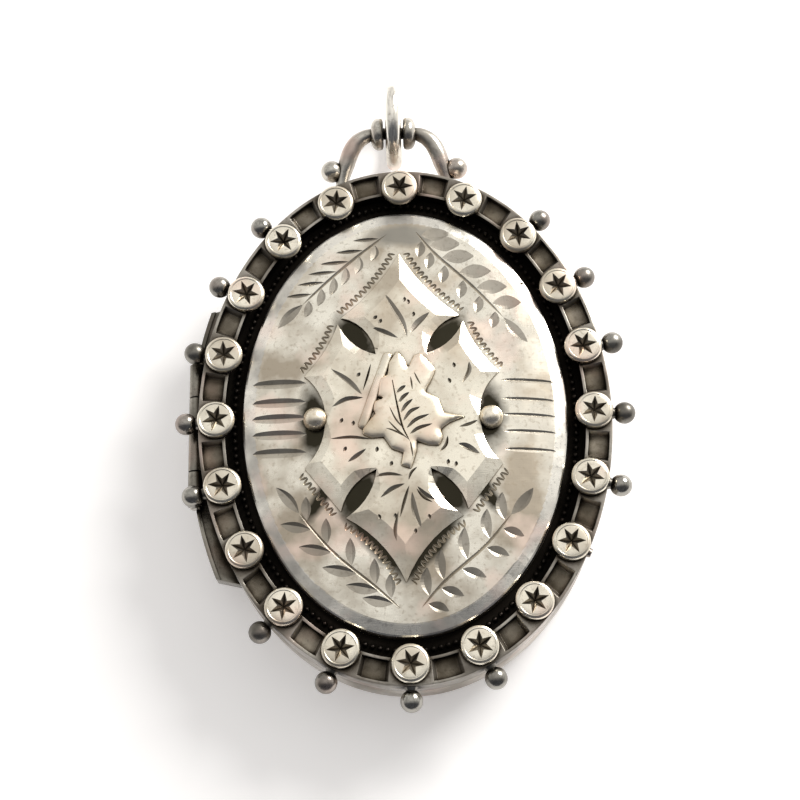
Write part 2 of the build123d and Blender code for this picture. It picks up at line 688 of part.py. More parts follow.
# The jump ring stands on edge between the collars and leans on the resting surface,
# or hangs straight down where the bar is too high for that.
ring_hang = ring_radius - 2 * ring_wire - bail_wire - ring_fit
ring_drop = min(ring_hang, bar_z - ring_radius - ring_floor)
ring_z = bar_z - ring_drop
ring_y = bar_y + sqrt(ring_hang**2 - ring_drop**2)
with BuildPart() as jump_ring:
    with Locations(Location((bail_x, ring_y, ring_z), (0, 90, 0))):
        Torus(ring_radius - ring_wire, ring_wire)
jump_ring.part.label = "jump_ring"
export_step(jump_ring.part, "parts/jump_ring.step")

print("hinge axis: x", hinge_x, "z", part_line)
print("bar axis: y", bar_y, "z", bar_z, "x", bail_x)
print("ring centre: y", round(ring_y, 4), "z", round(ring_z, 4))
print("overall height:", round(leaf_foot + leaf_thickness, 3))
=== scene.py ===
# %% [markdown]
# # A silver locket, finished in Blender
# The CAD model gives every part of this locket at its real size, with a hinge and a
# swinging ring. It is plain: here each part gets the shape and finish that a
# silversmith would give it. We work in metres, in the same frame as the CAD, so
# nothing is fitted afterwards. The locket lies on its back, Z points up out of its
# front, Y points to the bail and the hinge is on the left.

# %% Load the CAD model
from math import atan2, cos, hypot, pi, radians, sin, sqrt

import bmesh
import bpy
import numpy as np
from mathutils import Matrix, Vector, noise


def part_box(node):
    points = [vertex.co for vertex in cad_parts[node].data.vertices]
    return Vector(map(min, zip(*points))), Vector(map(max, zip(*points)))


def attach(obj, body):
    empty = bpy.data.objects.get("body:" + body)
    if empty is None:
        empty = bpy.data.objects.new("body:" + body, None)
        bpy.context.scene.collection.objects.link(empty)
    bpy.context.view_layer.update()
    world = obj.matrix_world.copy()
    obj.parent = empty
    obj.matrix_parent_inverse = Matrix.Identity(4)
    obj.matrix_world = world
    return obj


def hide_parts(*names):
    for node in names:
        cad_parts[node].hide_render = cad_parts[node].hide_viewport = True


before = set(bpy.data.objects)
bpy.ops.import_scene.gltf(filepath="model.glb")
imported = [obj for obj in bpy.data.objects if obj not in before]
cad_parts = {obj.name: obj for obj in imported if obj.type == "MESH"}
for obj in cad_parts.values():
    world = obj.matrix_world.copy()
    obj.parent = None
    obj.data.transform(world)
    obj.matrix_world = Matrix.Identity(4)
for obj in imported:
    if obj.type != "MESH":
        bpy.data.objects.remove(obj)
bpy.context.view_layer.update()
mm = 0.001

# %% [markdown]
# ## Sizes
# The places of the big parts are read from the CAD model's boxes, so that a part made
# here always meets its neighbours. What the boxes can't tell, such as the slope of an
# edge, is named once and used everywhere.

# %% Read the sizes
rim_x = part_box("seat_border")[1].x
rim_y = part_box("seat_border")[1].y
channel_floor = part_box("seat_border")[0].z
seat_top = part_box("seat_border")[1].z
boss_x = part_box("boss")[1].x
boss_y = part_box("boss")[1].y
crown_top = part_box("boss")[1].z
border_width = 2.4 * mm
boss_bevel = 1.2 * mm
boss_edge = channel_floor + 0.7 * mm
boss_shoulder = crown_top - 1.0 * mm
crown_x = boss_x - boss_bevel
crown_y = boss_y - boss_bevel
crown_rise = crown_top - boss_shoulder
crown_sphere = (crown_x**2 + crown_rise**2) / (2 * crown_rise)
plate_thickness = 0.6 * mm
print("rim", round(rim_x / mm, 2), round(rim_y / mm, 2), "crown top", round(crown_top / mm, 2))

# %% [markdown]
# ## The way round the oval
# Studs, seats and grains stand at even distances along the rim. On an oval, even
# angles don't give even distances, so we walk round the line of the studs once and
# note how far we are at each angle. Any share of the way round can then be looked up.

# %% Walk round the line of the studs
stud_line_x = rim_x - 1.65 * mm
stud_line_y = rim_y - 1.9 * mm
turns = np.linspace(0, 2 * pi, 7201)
steps = np.hypot(np.diff(stud_line_x * np.sin(turns)), np.diff(stud_line_y * np.cos(turns)))
travelled = np.concatenate([[0], np.cumsum(steps)])
way_round = travelled[-1]


def oval_turn(share):
    """The oval's own angle at a share of the way round, clockwise from the top."""
    return float(np.interp((share % 1) * way_round, travelled, turns))


def on_oval(turn, inset, height):
    """A place at a distance inside the rim."""
    return Vector(((rim_x - inset) * sin(turn), (rim_y - inset) * cos(turn), height))


def crown_height(x, y):
    """Height of the boss's dome."""
    left = crown_sphere**2 - x * x - (y * crown_x / crown_y) ** 2
    return crown_top - crown_sphere + sqrt(max(left, 0))


print("way round the studs:", round(way_round / mm, 1), "mm")

# %% [markdown]
# ## Camera
# We look down on the locket from a little below its foot, as someone would who holds a
# camera over a table. A long lens keeps the oval's shape. The camera is turned through given
# angles: its back points from the target to the lens, and a small roll leans the picture.

# %% Place the camera
target = Vector((0, 0, 6 * mm))
tilt = radians(17.4)
swing = radians(1.6)
roll = radians(1.35)
distance = 150 * mm
back_way = Vector((sin(tilt) * sin(swing), -sin(tilt) * cos(swing), cos(tilt)))
right_way = Vector((0, 1, 0)).cross(back_way).normalized()
up_way = back_way.cross(right_way)
camera_data = bpy.data.cameras.new("camera")
camera_data.lens = 73.6
camera_data.sensor_width = 36
camera_data.shift_x = -0.0065
camera_data.shift_y = 0.0285
camera_data.clip_start = 5 * mm
camera_data.clip_end = 5
camera = bpy.data.objects.new("camera", camera_data)
looking = Matrix((right_way, up_way, back_way)).transposed().to_4x4()
stand = Matrix.Translation(target + back_way * distance)
camera.matrix_world = stand @ looking @ Matrix.Rotation(-roll, 4, "Z")
bpy.context.scene.collection.objects.link(camera)
bpy.context.scene.camera = camera
print("camera at", [round(c / mm, 1) for c in camera.location])

# %% [markdown]
# ## Floor and light
# Silver shows what stands around it, more than any colour of its own. A white table
# and one large soft lamp at the upper right give broad bright faces. A darker room
# behind them gives the faces that look away something to show, and so the edges read.

# %% Build the table and the lamps


def area_lamp(name, place, aim, size, power, colour):
    """A soft lamp that looks at a point."""
    data = bpy.data.lights.new(name, "AREA")
    data.shape = "DISK"
    data.size = size
    data.energy = power
    data.color = colour
    lamp = bpy.data.objects.new(name, data)
    lamp.location = place
    lamp.rotation_euler = (Vector(aim) - Vector(place)).to_track_quat("-Z", "Y").to_euler()
    bpy.context.scene.collection.objects.link(lamp)
    return lamp


bm = bmesh.new()
bmesh.ops.create_grid(bm, x_segments=1, y_segments=1, size=3)
table_mesh = bpy.data.meshes.new("table")
bm.to_mesh(table_mesh)
bm.free()
table = bpy.data.objects.new("table", table_mesh)
bpy.context.scene.collection.objects.link(table)
table_paint = bpy.data.materials.new("white_table")
table_paint.use_nodes = True
table_shader = table_paint.node_tree.nodes["Principled BSDF"]
table_shader.inputs["Base Color"].default_value = (0.93, 0.925, 0.925, 1)
table_shader.inputs["Roughness"].default_value = 0.75
table_shader.inputs["Emission Color"].default_value = (1.0, 0.955, 0.925, 1)
table_shader.inputs["Emission Strength"].default_value = 0.30
table_mesh.materials.append(table_paint)

area_lamp("window", (0.25, 0.26, 0.21), (0, 0, 0), 0.20, 2.0, (1.0, 0.985, 0.96))
world = bpy.data.worlds.new("room")
world.use_nodes = True
room = world.node_tree
looking_way = room.nodes.new("ShaderNodeTexCoord")
split = room.nodes.new("ShaderNodeSeparateXYZ")
room.links.new(looking_way.outputs["Generated"], split.inputs[0])
walls = room.nodes.new("ShaderNodeMapRange")
walls.interpolation_type = "SMOOTHSTEP"
walls.inputs["From Min"].default_value = -0.50
walls.inputs["From Max"].default_value = 0.15
room.links.new(split.outputs["Y"], walls.inputs["Value"])
tint = room.nodes.new("ShaderNodeMix")
tint.data_type = "RGBA"
room.links.new(walls.outputs["Result"], tint.inputs["Factor"])
dark_side, bright_side = [socket for socket in tint.inputs if socket.type == "RGBA"]
dark_side.default_value = (0.12, 0.125, 0.14, 1)
bright_side.default_value = (0.84, 0.83, 0.81, 1)
room.links.new(next(s for s in tint.outputs if s.type == "RGBA"), room.nodes["Background"].inputs["Color"])
things = room.nodes.new("ShaderNodeTexNoise")
things.inputs["Scale"].default_value = 3.5
room.links.new(looking_way.outputs["Generated"], things.inputs["Vector"])
uneven = room.nodes.new("ShaderNodeMapRange")
for socket, value in (("From Min", 0.35), ("From Max", 0.65), ("To Min", 0.62), ("To Max", 1.25)):
    uneven.inputs[socket].default_value = value
room.links.new(things.outputs["Fac"], uneven.inputs["Value"])
room.links.new(uneven.outputs["Result"], room.nodes["Background"].inputs["Strength"])
bpy.context.scene.world = world
bpy.context.scene.view_settings.view_transform = "Standard"

# %% [markdown]
# ## Silver
# Old silver is bright only where it gets rubbed. Sulphur in the air turns the rest
# yellow, then brown, then black, and the black stays in every corner that a cloth
# can't reach. We could paint that by hand, but a node that measures how shut in a
# point is (ambient occlusion) finds the corners by itself. On top come patches of
# light tarnish, fine scratches and small dents, all from noise on object coordinates.

# %% A helper that wires nodes


class Wiring:
    """Adds nodes to a material one after another, and joins them."""

    def __init__(self, name):
        self.material = bpy.data.materials.new(name)
        self.material.use_nodes = True
        self.nodes = self.material.node_tree.nodes
        self.links = self.material.node_tree.links
        self.shader = self.nodes["Principled BSDF"]
        self.place = self.nodes.new("ShaderNodeTexCoord").outputs["Object"]

    def add(self, kind, **settings):
        """A node with its properties set, and its sockets set or joined."""
        node = self.nodes.new(kind)
        for key, value in settings.items():
            if hasattr(node, key):
                setattr(node, key, value)
            elif hasattr(value, "is_linked"):
                self.links.new(value, node.inputs[key.replace("_", " ")])
            else:
                node.inputs[key.replace("_", " ")].default_value = value
        return node

    def math(self, operation, first, second, clamp=True):
        """Arithmetic on two numbers or sockets, kept between 0 and 1 unless told otherwise."""
        node = self.nodes.new("ShaderNodeMath")
        node.operation = operation
        node.use_clamp = clamp
        for socket, value in zip(node.inputs, (first, second)):
            if hasattr(value, "is_linked"):
                self.links.new(value, socket)
            else:
                socket.default_value = value
        return node.outputs[0]

    def noise(self, scale, detail=3.0, stretch=(1, 1, 1), turn=0.0):
        """Noise whose grains are 1 / scale metres, stretched along an axis if asked."""
        mapping = self.add("ShaderNodeMapping", Vector=self.place, Scale=stretch)
        mapping.inputs["Rotation"].default_value = (0, 0, turn)
        texture = self.add("ShaderNodeTexNoise", Vector=mapping.outputs[0], Scale=scale, Detail=detail)
        return texture.outputs["Fac"]

    def between(self, value, low, high, start=0.0, end=1.0):
        """Carries a value from one range to another."""
        node = self.nodes.new("ShaderNodeMapRange")
        node.inputs["From Min"].default_value = low
        node.inputs["From Max"].default_value = high
        node.inputs["To Min"].default_value = start
        node.inputs["To Max"].default_value = end
        self.links.new(value, node.inputs["Value"])
        return node.outputs["Result"]

    def blend(self, share, first, second):
        """Mixes two colours, given as numbers or sockets."""
        node = self.nodes.new("ShaderNodeMix")
        node.data_type = "RGBA"
        self.links.new(share, node.inputs["Factor"])
        colours = [socket for socket in node.inputs if socket.type == "RGBA"]
        for socket, value in zip(colours, (first, second)):
            if hasattr(value, "is_linked"):
                self.links.new(value, socket)
            else:
                socket.default_value = (*value, 1)
        return next(socket for socket in node.outputs if socket.type == "RGBA")

    def bump(self, height, strength, depth, under=None):
        """A bump from a height, on top of another bump if given."""
        node = self.nodes.new("ShaderNodeBump")
        node.inputs["Strength"].default_value = strength
        node.inputs["Distance"].default_value = depth
        self.links.new(height, node.inputs["Height"])
        if under is not None:
            self.links.new(under, node.inputs["Normal"])
        return node.outputs["Normal"]


print("wiring helper ready")

# %% [markdown]
# One function makes every silver on the locket. What differs from piece to piece is
# how bright its metal is, how black its corners are, how far the black creeps out of
# them, and how smooth it was polished.

# %% One silver for every piece
tarnish_black = (0.012, 0.010, 0.008)


# Spots of black tarnish (the plate's slots and the berries) and of painted shade (the last two, under the
# plate's lower edges).
tarnish_and_shade_places = (  # x, y, direction in degrees, half length, half width, in millimetres
    (3.95, 7.3, 47, 2.75, 1.2),
    (3.95, -7.3, -53, 2.75, 1.2),
    (7.85, -0.5, 90, 3.5, 1.6),
    (7.05, -7.1, -52, 3.3, 0.75),
    (2.45, -12.2, 48, 4.4, 0.85),
)


def spot(w, place, x, y, way, long, wide, mottle):
    """0 inside a ragged oval spot, 1 well outside it. Sizes are in millimetres."""
    turned = w.add("ShaderNodeMapping", vector_type="TEXTURE", Vector=place)
    turned.inputs["Location"].default_value = (x * mm, y * mm, 0)
    turned.inputs["Rotation"].default_value = (0, 0, radians(way))
    turned.inputs["Scale"].default_value = (long * mm, wide * mm, 1)
    reach = w.add("ShaderNodeVectorMath", operation="LENGTH")
    w.links.new(turned.outputs[0], reach.inputs[0])
    return w.between(w.math("ADD", reach.outputs["Value"], mottle, False), 1.1, 1.75)


def tarnish_and_shade_pools(w, mottle):
    """Black tarnish that polishing never reached, in the slots of the applied plate and beside
    its berries, and painted shade under its lower edges, where the plate casts its shadow. The left half
    mirrors the right."""
    axes = w.add("ShaderNodeSeparateXYZ", Vector=w.place)
    from_middle = w.math("ABSOLUTE", w.math("ADD", axes.outputs["X"], 0.2 * mm, False), 0, False)
    folded = w.add("ShaderNodeCombineXYZ", X=from_middle, Y=axes.outputs["Y"]).outputs[0]
    clear = None
    for x, y, way, long, wide in tarnish_and_shade_places:
        beyond = spot(w, folded, x, y, way, long, wide, mottle)
        clear = beyond if clear is None else w.math("MULTIPLY", clear, beyond)
    return clear


def silver(name, bright, dull, polish, corner_reach, creep, patches, dents=0.25, right_side=0.0, pools_and_shade=False):
    """Aged silver: bright where it is rubbed and dull in patches. polish is the roughness of
    the rubbed metal, corner_reach how wide its black corners are in metres, creep how far
    the black comes out of them, and patches how strong the dull patches are. right_side
    adds to the patches on the right, and the pools flag adds black that polishing missed
    and painted shade under the applied plate's lower edges."""
    w = Wiring(name)
    shut_in = w.add("ShaderNodeAmbientOcclusion", samples=8, Distance=corner_reach).outputs["AO"]
    mottle = w.noise(420, 4)
    speckle = w.noise(2600, 2)
    openness = w.math("ADD", shut_in, w.between(mottle, 0.3, 0.7, -0.10, 0.10))
    black_edge = w.between(openness, creep - 0.22, creep + 0.10)
    brown = (0.52 * dull[0], 0.47 * dull[1], 0.38 * dull[2])
    brown_edge = w.between(openness, creep - 0.05, creep + 0.30)
    patch = w.between(w.noise(170, 6), 0.42, 0.60)
    if right_side:
        across = w.add("ShaderNodeSeparateXYZ", Vector=w.place).outputs["X"]
        patch = w.math("ADD", patch, w.between(across, 2 * mm, 13 * mm, 0, right_side))
    worn = w.math("MULTIPLY", patch, patches)
    metal = w.blend(worn, bright, dull)
    metal = w.blend(w.between(speckle, 0.56, 0.72, 0, 0.45), metal, dull)
    blush = (min(1.05 * bright[0], 1), 0.86 * bright[1], 0.84 * bright[2])
    metal = w.blend(w.between(w.noise(210, 3, (1, 1, 1), 0.8), 0.52, 0.68, 0, 0.7), metal, blush)
    if pools_and_shade:  # a dull grey patch between the upper stems
        metal = w.blend(spot(w, w.place, 0.6, 17.7, 0, 4.0, 1.1, mottle), (0.31, 0.29, 0.25), metal)
    colour = w.blend(brown_edge, brown, metal)
    colour = w.blend(black_edge, tarnish_black, colour)
    # Painted shade under the plate's lower edges, with black tarnish in its slots and beside the berries.
    if pools_and_shade:
        colour = w.blend(tarnish_and_shade_pools(w, mottle), (0.034, 0.030, 0.020), colour)
    w.links.new(colour, w.shader.inputs["Base Color"])
    w.shader.inputs["Metallic"].default_value = 1.0
    smooth = w.between(mottle, 0.3, 0.7, polish - 0.05, polish + 0.08)
    rough = w.math("ADD", smooth, w.math("MULTIPLY", worn, 0.22))
    rough = w.math("ADD", rough, w.between(black_edge, 0, 1, 0.30, 0))
    w.links.new(rough, w.shader.inputs["Roughness"])
    scratches = w.noise(900, 2, (1, 14, 1), 0.5)
    crossing = w.noise(900, 2, (14, 1, 1), 0.25)
    normal = w.bump(w.noise(260, 2), dents, 0.12 * mm)
    normal = w.bump(scratches, 0.20, 0.02 * mm, normal)
    normal = w.bump(crossing, 0.16, 0.02 * mm, normal)
    normal = w.bump(w.noise(1500, 3), 0.16, 0.03 * mm, normal)
    w.links.new(normal, w.shader.inputs["Normal"])
    return w.material


stud_silver = silver("stud_silver", (0.90, 0.84, 0.71), (0.44, 0.37, 0.28), 0.22, 0.5 * mm, 0.58, 0.65)
star_silver = silver("star_silver", (0.46, 0.42, 0.35), (0.15, 0.125, 0.10), 0.22, 0.55 * mm, 0.46, 0.70)
aged_silver = silver("aged_silver", (0.55, 0.51, 0.45), (0.24, 0.205, 0.165), 0.28, 0.8 * mm, 0.55, 0.75)
border_silver = silver("border_silver", (0.44, 0.41, 0.36), (0.12, 0.10, 0.08), 0.28, 1.2 * mm, 0.70, 0.80)
# The panels' silver is darker and its black corners reach far out: besides tarnish, this paints the shade
# that the seats' flanks cast into the panels.
panel_tarnish_and_shade_silver = silver("panel_tarnish_and_shade_silver", (0.34, 0.30, 0.24), (0.085, 0.07, 0.05), 0.38, 1.3 * mm, 0.74, 0.85)
bead_silver = silver("bead_silver", (0.38, 0.365, 0.33), (0.10, 0.09, 0.075), 0.18, 0.9 * mm, 0.55, 0.85)
black_silver = silver("black_silver", (0.045, 0.038, 0.033), (0.012, 0.010, 0.009),
                      0.30, 0.9 * mm, 0.80, 0.80)
dome_silver = silver("dome_silver", (0.97, 0.925, 0.81), (0.37, 0.305, 0.225),
                     0.20, 0.6 * mm, 0.52, 0.85, dents=0.50, right_side=0.35, pools_and_shade=True)
bevel_silver = silver("bevel_silver", (0.97, 0.93, 0.84), (0.38, 0.36, 0.33),
                      0.20, 0.4 * mm, 0.20, 0.85, 0.45)
cut_silver = silver("cut_silver", (0.44, 0.405, 0.345), (0.20, 0.175, 0.14), 0.26, 0.3 * mm, 0.34, 0.70, 0.1)
plate_silver = silver("plate_silver", (0.97, 0.91, 0.77), (0.43, 0.355, 0.265),
                      0.22, 0.6 * mm, 0.58, 0.75, 0.45)
leaf_silver = silver("leaf_silver", (0.97, 0.89, 0.74), (0.56, 0.44, 0.30),
                     0.28, 0.6 * mm, 0.58, 0.70, 0.45)
wriggle_silver = silver("wriggle_silver", (0.66, 0.61, 0.52), (0.30, 0.26, 0.205),
                        0.26, 0.2 * mm, 0.18, 0.7, 0.1)
inner_silver = silver("inner_silver", (0.90, 0.87, 0.82), (0.55, 0.50, 0.44), 0.22, 0.5 * mm, 0.45, 0.40)
bail_silver = silver("bail_silver", (0.60, 0.57, 0.51), (0.16, 0.14, 0.115), 0.19, 0.9 * mm, 0.62, 0.75)
ring_silver = silver("ring_silver", (0.92, 0.88, 0.80), (0.36, 0.32, 0.26), 0.17, 0.7 * mm, 0.55, 0.60)
hinge_silver = silver("hinge_silver", (0.30, 0.28, 0.24), (0.09, 0.08, 0.065), 0.24, 1.2 * mm, 0.66, 0.80)
pin_silver = silver("pin_silver", (0.60, 0.57, 0.51), (0.24, 0.21, 0.17), 0.22, 0.5 * mm, 0.50, 0.60)
wall_silver = silver("wall_silver", (0.50, 0.46, 0.41), (0.16, 0.135, 0.105), 0.26, 1.2 * mm, 0.66, 0.75)
print("silvers:", [m.name for m in bpy.data.materials if m.name.endswith("silver")])

# %% [markdown]
# ## Mesh helpers
# Most pieces end the same way: the faces are shaded smooth, the edges that turn more
# than a set angle stay sharp, the piece is put on the body it rides on and gets its
# materials, and the CAD node it stands for is hidden.

# %% Finish a piece


def finish_piece(bm, name, body, materials, stands_for=(), sharp=32):
    """Turns a bmesh into a finished piece of the locket."""
    bmesh.ops.recalc_face_normals(bm, faces=bm.faces)
    for face in bm.faces:
        face.smooth = True
    for edge in bm.edges:
        if edge.is_manifold and edge.calc_face_angle() > radians(sharp):
            edge.smooth = False
    mesh = bpy.data.meshes.new(name)
    bm.to_mesh(mesh)
    bm.free()
    return finish_mesh(mesh, name, body, materials, stands_for)


def finish_mesh(mesh, name, body, materials, stands_for=()):
    """Puts a finished mesh on its body."""
    piece = bpy.data.objects.new(name, mesh)
    bpy.context.scene.collection.objects.link(piece)
    if not mesh.materials:
        for material in materials:
            mesh.materials.append(material)
    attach(piece, body)
    if stands_for:
        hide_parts(*stands_for)
    print(f"{name}: {len(mesh.vertices)} points, {len(mesh.polygons)} faces")
    return piece


def spin_ring(profile, count):
    """A closed profile of (radius, height) points, turned once round Z."""
    bm = bmesh.new()
    points = [bm.verts.new((radius, 0, height)) for radius, height in profile]
    edges = [bm.edges.new(pair) for pair in zip(points, points[1:] + points[:1])]
    bmesh.ops.spin(bm, geom=points + edges, cent=(0, 0, 0), axis=(0, 0, 1), angle=2 * pi, steps=count,
                   use_merge=True)
    bmesh.ops.remove_doubles(bm, verts=bm.verts, dist=0.0005 * mm)
    return bm


def to_oval(bm, x_radius, y_radius, core=0.0):
    """Pulls a round piece out to an oval. Outside the core every width stays the same all
    round, as if bent from strip; inside it the piece is stretched like a dome."""
    for vert in bm.verts:
        radius = hypot(vert.co.x, vert.co.y)
        turn = atan2(vert.co.x, vert.co.y)
        reach = y_radius - x_radius + (radius if radius >= core else core)
        if radius < core:
            reach *= radius / core
        vert.co = (radius * sin(turn), reach * cos(turn), vert.co.z)


def soften(bm, width, segments=2, angle=35):
    """Bevels every edge that turns more than an angle."""
    edges = [e for e in bm.edges if e.is_manifold and e.calc_face_angle() > radians(angle)]
    bmesh.ops.bevel(bm, geom=edges, offset=width, offset_type="OFFSET", affect="EDGES", segments=segments,
                    profile=0.5, material=-1, clamp_overlap=True)


def slice_up(bm, low, high, step, axis):
    """Cuts a mesh into slices, so that it can be bent."""
    count = int((high - low) / step)
    for index in range(1, count):
        place = Vector((0, 0, 0))
        place[axis] = low + (high - low) * index / count
        normal = Vector((0, 0, 0))
        normal[axis] = 1
        bmesh.ops.bisect_plane(bm, geom=bm.verts[:] + bm.edges[:] + bm.faces[:], plane_co=place,
                               plane_no=normal, dist=0.0001 * mm)


print("mesh helpers ready")

# %% [markdown]
# ## The border and its seats
# The border looks like a strip of metal with raised seats, bent into an oval. We make
# it just so: one straight length from seat to seat, cut by planes, with the panel's
# floor pushed down. Its edges are bevelled, it is copied twenty times, and the whole
# strip is bent round. Making it straight keeps every cut a simple plane.

# %% Model the border
stud_count = 20
seat_pitch = way_round / stud_count
panel_depth = 0.5 * mm
panel_lip = 0.26 * mm
panel_half = 0.95 * mm
panel_flank = 0.35 * mm

bm = bmesh.new()
bmesh.ops.create_cube(bm, size=1)
bmesh.ops.scale(bm, verts=bm.verts, vec=(border_width, seat_pitch, seat_top - channel_floor))
bmesh.ops.translate(bm, verts=bm.verts,
                    vec=(border_width / 2, seat_pitch / 2, (seat_top + channel_floor) / 2))
middle = seat_pitch / 2
for cut in (middle - panel_half - panel_flank, middle - panel_half, middle + panel_half,
            middle + panel_half + panel_flank):
    bmesh.ops.bisect_plane(bm, geom=bm.verts[:] + bm.edges[:] + bm.faces[:], plane_co=(0, cut, 0),
                           plane_no=(0, 1, 0))
for cut in (panel_lip, panel_lip + 0.07 * mm, border_width - panel_lip - 0.07 * mm, border_width - panel_lip):
    bmesh.ops.bisect_plane(bm, geom=bm.verts[:] + bm.edges[:] + bm.faces[:], plane_co=(cut, 0, 0),
                           plane_no=(1, 0, 0))
for vert in bm.verts:
    on_floor = abs(vert.co.y - middle) < panel_half + 0.01 * mm
    inside = panel_lip + 0.03 * mm < vert.co.x < border_width - panel_lip - 0.03 * mm
    if on_floor and inside and vert.co.z > seat_top - 0.01 * mm:
        vert.co.z -= panel_depth
ends = [f for f in bm.faces if abs(f.normal.y) > 0.99]
bmesh.ops.delete(bm, geom=ends, context="FACES")
bm.normal_update()
soften(bm, 0.07 * mm)
slice_up(bm, 0, seat_pitch, 0.4 * mm, 1)
unit = bm.verts[:] + bm.edges[:] + bm.faces[:]
for copy in range(1, stud_count):
    made = bmesh.ops.duplicate(bm, geom=unit)["geom"]
    verts = [g for g in made if isinstance(g, bmesh.types.BMVert)]
    bmesh.ops.translate(bm, verts=verts, vec=(0, copy * seat_pitch, 0))
for vert in bm.verts:
    vert.co = on_oval(oval_turn(vert.co.y / way_round), vert.co.x, vert.co.z)
bmesh.ops.remove_doubles(bm, verts=bm.verts, dist=0.005 * mm)
bm.normal_update()
# Panel floors take the darker panel silver, partly tarnish and partly painted shade; the inner walls take
# black tarnish.
for face in bm.faces:
    centre = face.calc_center_median()
    if face.normal.z > 0.9 and centre.z < seat_top - 0.3 * mm:
        face.material_index = 1
    elif abs(face.normal.z) < 0.3 and hypot(centre.x / rim_x, centre.y / rim_y) < 0.93:
        face.material_index = 2
finish_piece(bm, "studded_border", "front", [border_silver, panel_tarnish_and_shade_silver, black_silver],
             ["seat_border"])

# %% [markdown]
# ## The channel's grains
# A line of tiny grains runs round the channel. A real one is drawn from bead wire. There
# are well over a hundred, so each is a small ball of few faces; smooth shading does
# the rest.

# %% Model the grain line
grain_radius = 0.27 * mm
grain_inset = 3.18 * mm
grain_count = 170
bm = bmesh.new()
for index in range(grain_count):
    turn = oval_turn(index / grain_count)
    place = on_oval(turn, grain_inset, channel_floor + grain_radius)
    bmesh.ops.create_uvsphere(bm, u_segments=8, v_segments=6, radius=grain_radius,
                              matrix=Matrix.Translation(place))
finish_piece(bm, "channel_grains", "front", [black_silver], ["channel_beading"])

# %% [markdown]
# ## Cutting with a graver
# A graver pushed through silver leaves a V-shaped cut that starts and ends in a point.
# That is a thin wedge, so we make one wedge, bend it along each stroke, thin its ends,
# and let a Boolean modifier take it away from the metal. The walls of the cut keep the
# wedge's own material: freshly cut, then dulled.

# %% The graver and its strokes
wedge_bm = bmesh.new()
bmesh.ops.create_cone(wedge_bm, cap_ends=True, segments=3, radius1=1, radius2=1, depth=1)
bmesh.ops.rotate(wedge_bm, verts=wedge_bm.verts, cent=(0, 0, 0), matrix=Matrix.Rotation(-pi / 2, 3, "X"))
bmesh.ops.translate(wedge_bm, verts=wedge_bm.verts, vec=(0, 0.5, 0))
deepest = min(wedge_bm.verts, key=lambda v: v.co.z).co.z
if sum(abs(v.co.z - deepest) < 1e-6 for v in wedge_bm.verts) > 2:
    bmesh.ops.rotate(wedge_bm, verts=wedge_bm.verts, cent=(0, 0, 0), matrix=Matrix.Rotation(pi, 3, "Y"))
for vert in wedge_bm.verts:
    vert.co.x = 1.5 * np.sign(round(vert.co.x, 3))
    vert.co.z = -1.0 if vert.co.x == 0 else 0.5
for place in range(1, 10):
    bmesh.ops.bisect_plane(wedge_bm, geom=wedge_bm.verts[:] + wedge_bm.edges[:] + wedge_bm.faces[:],
                           plane_co=(0, place / 10, 0), plane_no=(0, 1, 0))
wedge = bpy.data.meshes.new("graver_wedge")
wedge_bm.to_mesh(wedge)
wedge_bm.free()


def curve_through(points, share):
    """A place on a smooth curve through a few points, and its direction."""
    points = [Vector(p) for p in points]
    if len(points) == 2:
        return points[0].lerp(points[1], share), (points[1] - points[0]).normalized()
    points = [2 * points[0] - points[1], *points, 2 * points[-1] - points[-2]]
    spans = len(points) - 3
    span = min(int(share * spans), spans - 1)
    t = share * spans - span
    p0, p1, p2, p3 = points[span:span + 4]
    place = 0.5 * (2 * p1 + (p2 - p0) * t + (2 * p0 - 5 * p1 + 4 * p2 - p3) * t**2
                   + (3 * p1 - p0 - 3 * p2 + p3) * t**3)
    way = 0.5 * ((p2 - p0) + 2 * (2 * p0 - 5 * p1 + 4 * p2 - p3) * t + 3 * (3 * p1 - p0 - 3 * p2 + p3) * t**2)
    return place, way.normalized()


def stroke(bm, points, width, depth, surface, lean=0.0, taper=0.6):
    """One graver stroke through points given in millimetres. lean pushes the cut's
    deepest line to one side, which makes one wall steep and the other broad."""
    first = len(bm.verts)
    bm.from_mesh(wedge)
    bm.verts.ensure_lookup_table()
    for vert in bm.verts[first:]:
        share = vert.co.y
        swell = max(sin(pi * share), 0.0) ** taper
        swell = max(swell, 0.06)
        place, way = curve_through(points, share)
        side = Vector((way.y, -way.x))
        across = vert.co.x + lean * (0.5 - vert.co.z) / 1.5
        place = place * mm + side * (across * swell * width * mm / 2)
        vert.co = (place.x, place.y, surface(place.x, place.y) + vert.co.z * swell * depth * mm)


